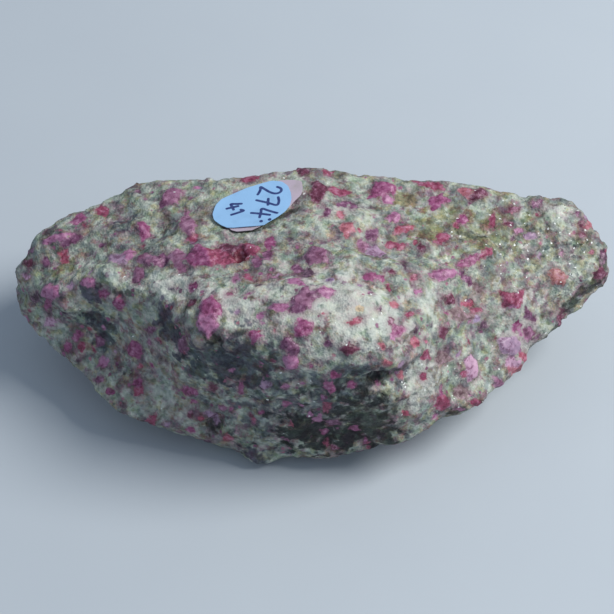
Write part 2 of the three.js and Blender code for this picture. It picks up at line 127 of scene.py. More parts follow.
class MineralOrShade(Enum):
    """What colours a patch of the rock, whether a mineral, painted shade or painted highlights: the place
    that it has among the stone's stain shares.
    """

    PALE = 0
    OLIVE = 1
    TAN = 2
    # Dark hornblende-rich rock, and painted shade in hollows and under edges.
    DARK = 3
    # Purple-grey rock, and painted shade under ledges, in creases and under the front foot.
    VIOLET = 4
    # Bluish grey rock, and painted shade on the front faces turned from the light.
    SLATE_AND_SHADE = 5
    # Coarser grains, and more of the painted highlights.
    GLITTER = 6


@dataclass(frozen=True)
class Mark:
    """Something on the stone where the picture shows it.

    The place is a point of the picture, and length and width are what the picture shows, in millimetres.
    The turn of the length is in degrees from level.
    """

    at: Point
    length: float
    width: float
    turn: float


@dataclass(frozen=True)
class Ruby(Mark):
    """A ruby crystal that shows in the rock's skin, standing proud of it by some millimetres or sunk."""

    tint: Tint
    proud: float = 0.22


@dataclass(frozen=True)
class StainOrShade(Mark):
    """A patch of the rock with more of one mineral, or of painted shade or light, at a strength from 0 to
    1.
    """

    mineral: MineralOrShade
    strength: float


@dataclass(frozen=True)
class Footing:
    """The seat of a mark on the stone, in millimetres: middle, the way out of the rock, and half axes."""

    middle: np.ndarray
    normal: np.ndarray
    along: np.ndarray
    across: np.ndarray

    @property
    def reach(self) -> float:
        """The longer of the two half axes."""
        return float(max(np.linalg.norm(self.along), np.linalg.norm(self.across)))


@dataclass(frozen=True)
class PictureView:
    """How the specimen is seen: aim and distance in millimetres, and the picture's own points."""

    aim: tuple[float, float, float] = (-0.82, -0.33, 20.0)
    look_down: float = math.radians(50)
    distance: float = 430.0
    point_size: float = 0.2185
    middle: float = 307.0
    flattest: float = 0.12
    sensor: float = 36.0
    clip: tuple[float, float] = (0.01, 20.0)

    @property
    def forward(self) -> np.ndarray:
        """The way that the camera looks."""
        return np.array([0.0, math.cos(self.look_down), -math.sin(self.look_down)])

    @property
    def up(self) -> np.ndarray:
        """The way that is up in the picture."""
        return np.array([0.0, math.sin(self.look_down), math.cos(self.look_down)])

    @property
    def eye(self) -> np.ndarray:
        """Where the camera stands."""
        return np.array(self.aim) - self.forward * self.distance

    def sight(self, at: Point) -> np.ndarray:
        """Gives the line of sight through a point of the picture.

        Args:
            at: The point of the picture.

        Returns:
            The way from the eye, as a unit vector.
        """
        sideways = (at[0] - self.middle) * self.point_size
        upwards = (self.middle - at[1]) * self.point_size
        return unit(self.forward * self.distance + self.up * upwards + np.array([sideways, 0.0, 0.0]))

    def on_plane(self, at: Point, place: np.ndarray, normal: np.ndarray) -> np.ndarray:
        """Finds where a line of sight meets a plane.

        Args:
            at: The point of the picture.
            place: Any point of the plane.
            normal: The plane's normal.

        Returns:
            The meeting point in millimetres.
        """
        ray = self.sight(at)
        slope = min(float(ray @ normal), -self.flattest)
        return self.eye + ray * (float((place - self.eye) @ normal) / slope)

    def place_camera(self) -> None:
        """Makes the scene's camera."""
        data = bpy.data.cameras.new("picture_view")
        data.sensor_width = self.sensor
        data.lens = self.sensor * self.distance / (2 * self.middle * self.point_size)
        data.clip_start, data.clip_end = self.clip
        camera = bpy.data.objects.new("picture_view", data)
        bpy.context.scene.collection.objects.link(camera)
        camera.location = Vector(self.eye) * MM
        camera.rotation_euler = (math.pi / 2 - self.look_down, 0.0, 0.0)
        bpy.context.scene.camera = camera


class Skin:
    """The surface of a mesh object as arrays in millimetres."""

    def __init__(self, piece: bpy.types.Object) -> None:
        """Reads the points and faces of a mesh object.

        Args:
            piece: The object; its mesh holds quads only.
        """
        self.piece = piece
        mesh = piece.data
        flat = np.empty(len(mesh.vertices) * 3)
        mesh.vertices.foreach_get("co", flat)
        self.points = flat.reshape(-1, 3) / MM
        corners = np.empty(len(mesh.loops), dtype=np.int64)
        mesh.loops.foreach_get("vertex_index", corners)
        self.faces = corners.reshape(-1, 4)
        ends = np.empty(len(mesh.edges) * 2, dtype=np.int64)
        mesh.edges.foreach_get("vertices", ends)
        self.edges = ends.reshape(-1, 2)
        self.normals = self.measure_normals()

    def measure_normals(self) -> np.ndarray:
        """Works out the outward normals from the faces around the points.

        Returns:
            A unit vector for each point.
        """
        corner = [self.points[self.faces[:, i]] for i in range(4)]
        facing = np.cross(corner[2] - corner[0], corner[3] - corner[1])
        total = np.zeros_like(self.points)
        for axis in range(3):
            for i in range(4):
                total[:, axis] += np.bincount(self.faces[:, i], facing[:, axis], len(self.points))
        return unit(total)

    def around(self, values: np.ndarray) -> np.ndarray:
        """Averages values over each point's neighbours.

        Args:
            values: A row for each point.

        Returns:
            The averages, a row for each point.
        """
        size = len(values)
        first, second = self.edges.T
        count = np.bincount(first, minlength=size) + np.bincount(second, minlength=size)
        columns = [
            np.bincount(first, column[second], size) + np.bincount(second, column[first], size)
            for column in values.T]
        return np.stack(columns, axis=1) / np.maximum(count, 1)[:, None]

    def smooth(self, passes: int, share: float) -> None:
        """Moves each point towards the middle of its neighbours.

        Args:
            passes: How many times over.
            share: How much of the way.
        """
        for _ in range(passes):
            self.points += (self.around(self.points) - self.points) * share
        self.normals = self.measure_normals()

    def near(self, place: np.ndarray, reach: float) -> np.ndarray:
        """Lists the points within reach of a place, by their indices."""
        close = np.abs(self.points - place).max(axis=1) < reach
        return np.nonzero(close)[0]

    def tree(self) -> BVHTree:
        """Makes the tree in which rays are looked up."""
        return BVHTree.FromPolygons(self.points.tolist(), self.faces.tolist())

    def write(self) -> None:
        """Puts the points back into the mesh."""
        self.piece.data.vertices.foreach_set("co", (self.points * MM).astype(np.float32).ravel())
        self.piece.data.update()


def store(mesh: bpy.types.Mesh, name: str, values: np.ndarray) -> None:
    """Keeps numbers for the points of a mesh, where a shader can read them.

    Args:
        mesh: The mesh.
        name: The name that the shader reads.
        values: One number for each point, or a row of three.
    """
    kind, key = ("FLOAT", "value") if values.ndim == 1 else ("FLOAT_VECTOR", "vector")
    attribute = mesh.attributes.new(name, kind, "POINT")
    attribute.data.foreach_set(key, values.astype(np.float32).ravel())


class Nodes:
    """Lays out the shader nodes of one material."""

    def __init__(self, name: str) -> None:
        """Makes the material with its shader and its coordinates in millimetres.

        Args:
            name: The material's name.
        """
        self.material = bpy.data.materials.new(name)
        self.material.use_nodes = True
        self.tree = self.material.node_tree
        self.tree.nodes.clear()
        self.shader = self.add("BsdfPrincipled", {})
        self.add("OutputMaterial", {"Surface": self.shader.outputs["BSDF"]})
        position = self.add("TexCoord", {}).outputs["Object"]
        self.place = self.vector("MULTIPLY", position, (1 / MM,) * 3)

    def add(self, kind: str, inputs: dict[Any, Any], **settings: Any) -> bpy.types.Node:
        """Adds one node.

        Args:
            kind: The node's type without the words ShaderNode.
            inputs: A value or a socket for each input, by name or index.
            **settings: Other properties of the node.

        Returns:
            The new node.
        """
        node = self.tree.nodes.new("ShaderNode" + kind)
        for name, value in settings.items():
            setattr(node, name, value)
        for name, value in inputs.items():
            if isinstance(value, Socket):
                self.tree.links.new(value, node.inputs[name])
            else:
                node.inputs[name].default_value = value
        return node

    def vector(self, operation: str, first: Any, second: Any) -> Socket:
        """Combines two vectors by one operation."""
        return self.add("VectorMath", {0: first, 1: second}, operation=operation).outputs[0]

    def math(self, operation: str, first: Any, second: Any = 0.0, clamp: bool = False) -> Socket:
        """Combines two numbers by one operation."""
        return self.add("Math", {0: first, 1: second}, operation=operation, use_clamp=clamp).outputs[0]

    def weigh(self, *parts: tuple[Any, float]) -> Socket:
        """Adds up values, each times its weight.

        Args:
            *parts: Pairs of value and weight.

        Returns:
            The sum.
        """
        total = None
        for value, weight in parts:
            term = self.math("MULTIPLY", value, weight)
            total = term if total is None else self.math("ADD", total, term)
        return total

    def step(self, value: Any, low: float, high: float) -> Socket:
        """Rises smoothly from 0 at low to 1 at high.

        Args:
            value: The value to look up.
            low: What gives 0.
            high: What gives 1; it may be the smaller one.

        Returns:
            A share from 0 to 1.
        """
        inputs = {"Value": value, "From Min": min(low, high), "From Max": max(low, high)}
        rising = low < high
        inputs.update({"To Min": 0.0 if rising else 1.0, "To Max": 1.0 if rising else 0.0})
        return self.add("MapRange", inputs, interpolation_type="SMOOTHSTEP").outputs[0]

    def mix(self, share: Any, first: Any, second: Any, blend: str = "MIX") -> Socket:
        """Mixes two colours by a share from 0 to 1."""
        inputs = {0: share, 6: first, 7: second}
        return self.add("Mix", inputs, data_type="RGBA", blend_type=blend).outputs[2]

    def ramp(self, value: Any, stops: Stops) -> Socket:
        """Looks a value up in a row of colours.

        Args:
            value: The value, from 0 to 1.
            stops: Places in the row with their colour codes.

        Returns:
            The colour.
        """
        node = self.add("ValToRGB", {0: value})
        elements = node.color_ramp.elements
        while len(elements) < len(stops):
            elements.new(1.0)
        for element, (place, code) in zip(elements, stops):
            element.position = place
            element.color = linear(code)
        return node.outputs["Color"]

    def noise(self, size: float, detail: float = 2.0, apart: float = 0.0, warp: float = 0.0) -> Socket:
        """Gives soft noise whose lumps are about the given number of millimetres wide.

        Args:
            size: The width of a lump.
            detail: How much finer noise lies on it.
            apart: How far this noise is taken from that of another layer, in millimetres.
            warp: How much it is twisted.

        Returns:
            Values around 0.5.
        """
        place = self.vector("ADD", self.place, (apart, 0.7 * apart, -0.4 * apart)) if apart else self.place
        inputs = {"Vector": place, "Scale": 1 / size, "Detail": detail, "Distortion": warp}
        return self.add("TexNoise", inputs).outputs["Fac"]

    def cells(self, size: float) -> tuple[Socket, Socket]:
        """Gives angular grains.

        Args:
            size: The width of a grain in millimetres.

        Returns:
            The distance from the grain's middle, and the grain's random colour.
        """
        node = self.add("TexVoronoi", {"Vector": self.place, "Scale": 1 / size})
        return node.outputs["Distance"], node.outputs["Color"]

    def parts(self, color: Socket) -> tuple[Socket, Socket, Socket]:
        """Takes a colour or vector apart into its three numbers."""
        node = self.add("SeparateXYZ", {0: color})
        return node.outputs[0], node.outputs[1], node.outputs[2]

    def stored(self, name: str) -> bpy.types.Node:
        """Reads numbers kept on the mesh under a name."""
        return self.add("Attribute", {}, attribute_name=name, attribute_type="GEOMETRY")

    def bump(self, height: Socket, depth: float, under: Any = None) -> Socket:
        """Turns a height into relief.

        Args:
            height: The height, from 0 to 1.
            depth: The relief's depth in millimetres.
            under: Other relief that this one lies on.

        Returns:
            The normal.
        """
        inputs = {"Height": height, "Strength": 1.0, "Distance": depth * MM}
        if under is not None:
            inputs["Normal"] = under
        return self.add("Bump", inputs).outputs["Normal"]

    def finish(self, **inputs: Any) -> bpy.types.Material:
        """Sets the shader's own sockets.

        Args:
            **inputs: A value or a socket for each, with underscores for the blanks in its name.

        Returns:
            The material.
        """
        for name, value in inputs.items():
            socket = self.shader.inputs[name.replace("_", " ")]
            if isinstance(value, Socket):
                self.tree.links.new(value, socket)
            else:
                socket.default_value = value
        return self.material


@dataclass(frozen=True)
class RubyFinish:
    """The look of the crystals: mottled, with dark and pink zones, fine partings and a dull gloss."""

    mottle_size: float = 1.3
    grain_size: float = 0.5
    parting_size: float = 1.1
    mottle_weights: tuple[float, float, float] = (1.4, 0.3, 0.1)
    dark: str = "c4abb8"
    dark_from: tuple[float, float] = (0.92, 0.62)
    light: str = "d6a9c2"
    light_from: tuple[float, float] = (0.88, 1.3)
    light_share: float = 0.36
    parting_width: float = 0.012
    parting_twist: float = 1.6
    parting_share: float = 0.2
    roughness: float = 0.42

    def color(self, nodes: Nodes, tint: Socket) -> Socket:
        """Gives the crystals' colour around their tint.

        Args:
            nodes: The material's nodes.
            tint: The tint of the nearest crystal.

        Returns:
            The mottled colour.
        """
        _, grain = nodes.cells(self.grain_size)
        pick, second, _ = nodes.parts(grain)
        soft = nodes.noise(self.mottle_size, 3.0)
        shade = nodes.weigh(*zip((soft, pick, second), self.mottle_weights))
        deep = nodes.mix(nodes.step(shade, *self.dark_from), tint, linear(self.dark), "MULTIPLY")
        bright = nodes.math("MULTIPLY", nodes.step(shade, *self.light_from), self.light_share)
        zoned = nodes.mix(bright, deep, linear(self.light))
        parting = nodes.noise(self.parting_size, 4.0, warp=self.parting_twist)
        line = nodes.math("ABSOLUTE", nodes.math("SUBTRACT", parting, 0.5))
        share = nodes.math("MULTIPLY", nodes.step(line, self.parting_width, 0.0), self.parting_share)
        return nodes.mix(share, zoned, linear(self.light))


@dataclass(frozen=True)
class Wash:
    """How one mineral, or painted shade, colours the rock: its colour, how much it covers and how it
    blends.
    """

    mineral: MineralOrShade
    color: str
    cover: float
    blend: str = "MULTIPLY"


@dataclass(frozen=True)
class Tone:
    """Clouds of a faint colour in the rock: colour, width, strength, and where its noise is taken."""

    color: str
    size: float
    strength: float
    apart: float


@dataclass(frozen=True)
class RockFinish:
    """The look of the rock between the crystals: clouds and fine grains of sage, grey, cream and mauve."""

    cloud_size: float = 4.6
    cloud_twist: float = 0.6
    blob_size: float = 1.5
    grain_size: float = 0.75
    fine_size: float = 0.36
    grain_weights: tuple[float, float, float, float] = (0.7, 0.7, 0.28, 0.32)
    contrast: float = 0.8
    coarseness: float = 0.45
    darkening: float = 0.255
    grains: Stops = (
        (0.0, "3a4246"), (0.2, "606a68"), (0.38, "869088"), (0.52, "a1aa9d"), (0.68, "b8bfb1"),
        (0.85, "cdd2c5"), (1.0, "dee0d6"),
    )
    tone_edge: tuple[float, float] = (0.52, 0.72)
    tone_grain: float = 0.1
    tones: tuple[Tone, ...] = (
        Tone("cbdecc", 2.4, 0.8, 11.0), Tone("efe3c0", 2.0, 0.8, 23.0), Tone("d8b2c9", 2.4, 1.0, 37.0),
        Tone("c3cbd9", 3.0, 0.8, 53.0), Tone("e2c8d6", 6.0, 0.9, 67.0),
    )
    # The slate, violet and dark washes also lay painted shade where their patches lie on faces turned from
    # the light or under edges.
    washes: tuple[Wash, ...] = (
        Wash(MineralOrShade.PALE, "d2d5cb", 0.55, "MIX"), Wash(MineralOrShade.OLIVE, "d5cda6", 0.9),
        Wash(MineralOrShade.TAN, "c9b08e", 0.8, "MIX"), Wash(MineralOrShade.SLATE_AND_SHADE, "9096a8", 0.95),
        Wash(MineralOrShade.VIOLET, "837a9a", 0.9), Wash(MineralOrShade.DARK, "747971", 0.9),
    )
    wash_edge: tuple[float, float] = (1.12, 1.68)
    rag_sizes: tuple[float, float] = (2.6, 0.9)
    rag_weight: float = 0.9
    speck_size: float = 1.5
    speck_rag: float = 0.5
    speck_weights: tuple[float, float, float] = (1.0, 0.5, -0.22)
    speck_edge: tuple[float, float] = (0.5, 0.28)
    specks: float = 0.08
    speck_fade: float = 0.02
    speck_cover: float = 0.85
    ruby_specks: Stops = ((0.0, "6d3a58"), (0.5, "8e5077"), (1.0, "a8707c"))
    halo: str = "c8a4b8"
    # Near white, painted on a few grains as highlights.
    painted_glint: str = "e9ece8"

    def color(self, nodes: Nodes, stains: Sequence[Socket]) -> Socket:
        """Gives the rock's colour, with the painted shade that some washes carry.

        Args:
            nodes: The material's nodes.
            stains: The share of each mineral and of painted shade and highlights, in the order of the enum
                that lists them.

        Returns:
            The colour of the rock without its specks of ruby.
        """
        _, grain = nodes.cells(self.grain_size)
        pick, second, _ = nodes.parts(grain)
        _, fine = nodes.cells(self.fine_size)
        fine_pick, _, _ = nodes.parts(fine)
        cloud = nodes.noise(self.cloud_size, 3.0, warp=self.cloud_twist)
        blob = nodes.noise(self.blob_size, 3.0, apart=5.0)
        value = nodes.weigh(*zip((cloud, blob, pick, fine_pick), self.grain_weights))
        coarse = nodes.math("MULTIPLY", nodes.math("SUBTRACT", second, 0.5), stains[MineralOrShade.GLITTER.value])
        shade = nodes.weigh((value, self.contrast), (coarse, self.coarseness), (-1.0, self.darkening))
        rock = nodes.ramp(shade, self.grains)
        for tone in self.tones:
            clouds = nodes.noise(tone.size, 3.0, apart=tone.apart)
            spread = nodes.weigh((clouds, 1.0), (fine_pick, self.tone_grain))
            share = nodes.math("MULTIPLY", nodes.step(spread, *self.tone_edge), tone.strength)
            rock = nodes.mix(share, rock, linear(tone.color), "MULTIPLY")
        wide, narrow = self.rag_sizes
        rags = (nodes.noise(wide, 3.0, apart=71.0), nodes.noise(narrow, 3.0, apart=83.0))
        ragged = nodes.weigh(*((rag, self.rag_weight) for rag in rags))
        for wash in self.washes:
            spread = nodes.math("ADD", stains[wash.mineral.value], ragged)
            share = nodes.math("MULTIPLY", nodes.step(spread, *self.wash_edge), wash.cover)
            rock = nodes.mix(share, rock, linear(wash.color), wash.blend)
        return rock

    def speck(self, nodes: Nodes) -> tuple[Socket, Socket]:
        """Gives the smallest crystals, which stand in the rock all over.

        Args:
            nodes: The material's nodes.

        Returns:
            Their share and their colour.
        """
        distance, grain = nodes.cells(self.speck_size)
        pick, tint, size = nodes.parts(grain)
        edge = nodes.weigh(*zip((distance, nodes.noise(self.speck_rag, 2.0), size), self.speck_weights))
        spot = nodes.step(edge, *self.speck_edge)
        chosen = nodes.step(pick, self.specks + self.speck_fade, self.specks)
        share = nodes.math("MULTIPLY", nodes.math("MULTIPLY", spot, chosen), self.speck_cover)
        return share, nodes.ramp(tint, self.ruby_specks)


@dataclass(frozen=True)
class StoneFinish:
    """The finish of the whole stone, rock and crystals together, with painted highlights on a few grains.
    """

    rock: RockFinish = RockFinish()
    ruby: RubyFinish = RubyFinish()
    facet_size: float = 0.9
    facet_lean: float = 0.3
    pit_size: float = 0.55
    rock_relief: float = 0.13
    fine_size: float = 0.3
    fine_relief: float = 0.05
    rock_roughness: float = 0.72
    specular: float = 0.4
    # Painted highlights: a few grains of this size take a near-white colour and a low roughness.
    glint_size: float = 0.36
    glint_gap: float = 0.9992
    glint_spread: float = 0.013
    painted_glint_cover: float = 0.85
    glint_roughness: float = 0.22
    halo_width: float = 1.4
    halo_size: float = 1.8
    rag_sizes: tuple[float, float] = (0.8, 2.4)
    edge_wander: tuple[float, float] = (1.4, 1.6)
    edge_middle: float = 1.5
    edge_softness: float = 0.3

    def material(self) -> bpy.types.Material:
        """Makes the stone's material.

        Returns:
            The material.
        """
        nodes = Nodes("ruby_in_zoisite")
        stored = [nodes.stored(f"stain_{index}").outputs["Vector"] for index in range(STAIN_SETS)]
        stains = [share for vector in stored for share in nodes.parts(vector)]
        edge = nodes.stored("ruby_edge").outputs["Fac"]
        rock = self.rock.color(nodes, stains)
        halo_cloud = nodes.noise(self.halo_size, 3.0, apart=91.0)
        halo = nodes.math("MULTIPLY", nodes.step(edge, self.halo_width, 0.0), halo_cloud)
        rock = nodes.mix(halo, rock, linear(self.rock.halo), "MULTIPLY")
        rock = nodes.mix(*self.rock_speck(nodes, rock))
        ruby = self.ruby.color(nodes, nodes.stored("ruby_tint").outputs["Color"])
        fine, wide = self.rag_sizes
        rags = (nodes.noise(fine, 4.0), nodes.noise(wide, 2.0, apart=13.0))
        wander = nodes.weigh((edge, 1.0), *zip(rags, self.edge_wander))
        middle, soft = self.edge_middle, self.edge_softness
        inside = nodes.step(wander, middle + soft, middle - soft)
        color = nodes.mix(inside, rock, ruby)
        _, facet = nodes.cells(self.facet_size)
        # Painted highlights on a few random grains, more where the glitter share is high.
        glint_pick = nodes.parts(nodes.cells(self.glint_size)[1])[0]
        common = nodes.weigh((self.glint_gap, 1.0), (stains[MineralOrShade.GLITTER.value], -self.glint_spread))
        painted_glint = nodes.math("GREATER_THAN", glint_pick, common)
        color = nodes.mix(nodes.math("MULTIPLY", painted_glint, self.painted_glint_cover), color, linear(self.rock.painted_glint))
        rough = nodes.mix(inside, grey(self.rock_roughness), grey(self.ruby.roughness))
        rough = nodes.mix(painted_glint, rough, grey(self.glint_roughness))
        return nodes.finish(
            Base_Color=color, Roughness=rough, Specular_IOR_Level=self.specular,
            Normal=self.relief(nodes, facet, inside))

    def rock_speck(self, nodes: Nodes, rock: Socket) -> tuple[Socket, Socket, Socket]:
        """Gives what mixes the smallest crystals into the rock: share, rock and speck colour."""
        share, color = self.rock.speck(nodes)
        return share, rock, color

    def relief(self, nodes: Nodes, facet: Socket, inside: Socket) -> Socket:
        """Gives the small relief: leaning grains under pits and fine roughness.

        Args:
            nodes: The material's nodes.
            facet: A random colour for each grain.
            inside: The share of crystal.

        Returns:
            The normal for the shader.
        """
        lean = nodes.vector("SUBTRACT", facet, (0.5, 0.5, 0.5))
        scaled = nodes.vector("MULTIPLY", lean, (self.facet_lean,) * 3)
        geometry = nodes.add("NewGeometry", {}).outputs["Normal"]
        leaning = nodes.add("VectorMath", {0: nodes.vector("ADD", geometry, scaled)}, operation="NORMALIZE")
        distance, _ = nodes.cells(self.pit_size)
        pits = nodes.math("MULTIPLY", distance, nodes.math("SUBTRACT", 1.0, inside))
        grains = nodes.bump(pits, self.rock_relief, leaning.outputs[0])
        return nodes.bump(nodes.noise(self.fine_size, 4.0), self.fine_relief, grains)


@dataclass(frozen=True)
class PaperFinish:
    """Thin, slightly soiled paper, with pen ink where the mesh says so."""

    name: str
    paper: str
    soil: str
    ink: str = "24306a"
    fibre_size: float = 0.25
    soil_size: float = 3.5
    soil_edge: tuple[float, float] = (0.45, 0.85)
    fibre_share: float = 0.25
    fibre_relief: float = 0.02
    pen: float = 0.3
    pen_edge: float = 0.12
    pen_rag: float = 0.5
    pen_wander: float = 0.1
    pen_run: float = 0.9
    pen_strength: tuple[float, float] = (0.3, 0.8)
    roughness: float = 0.78
    specular: float = 0.3

    def material(self) -> bpy.types.Material:
        """Makes the paper's material.

        Returns:
            The material.
        """
        nodes = Nodes(self.name)
        fibre = nodes.noise(self.fibre_size, 5.0)
        cloud = nodes.noise(self.soil_size, 4.0)
        color = nodes.mix(nodes.step(cloud, *self.soil_edge), linear(self.paper), linear(self.soil))
        color = nodes.mix(nodes.math("MULTIPLY", fibre, self.fibre_share), color, linear(self.soil))
        distance = nodes.stored("ink_distance").outputs["Fac"]
        wander = nodes.weigh((distance, 1.0), (nodes.noise(self.pen_rag, 3.0), self.pen_wander))
        inked = nodes.step(wander, self.pen + self.pen_edge, self.pen)
        strength = nodes.weigh(*zip((nodes.noise(self.pen_run, 3.0), 1.0), self.pen_strength))
        color = nodes.mix(nodes.math("MULTIPLY", inked, strength, clamp=True), color, linear(self.ink))
        return nodes.finish(
            Base_Color=color, Roughness=self.roughness, Specular_IOR_Level=self.specular,
            Normal=nodes.bump(fibre, self.fibre_relief))


@dataclass(frozen=True)
class FloorFinish:
    """Plain matte floor, pale and a little cool."""

    color: str = "b9c1c7"
    shade: str = "b4bcc3"
    cloud_size: float = 40.0
    roughness: float = 0.9
    specular: float = 0.2

    def material(self) -> bpy.types.Material:
        """Makes the floor's material.

        Returns:
            The material.
        """
        nodes = Nodes("plain_floor")
        color = nodes.mix(nodes.noise(self.cloud_size, 3.0), linear(self.color), linear(self.shade))
        return nodes.finish(
            Base_Color=color, Roughness=self.roughness, Specular_IOR_Level=self.specular)


@dataclass(frozen=True)
class Chips:
    """Flat facets of broken rock at one scale: their width, how steeply they lean and how far they step."""

    width: float
    lean: float
    step: float


@dataclass(frozen=True)
class Scatter:
    """Crystals that a seeded draw spreads over the stone: how many, how long, how proud, and where."""

    count: int
    lengths: tuple[float, float]
    proud: float
    in_sight: bool


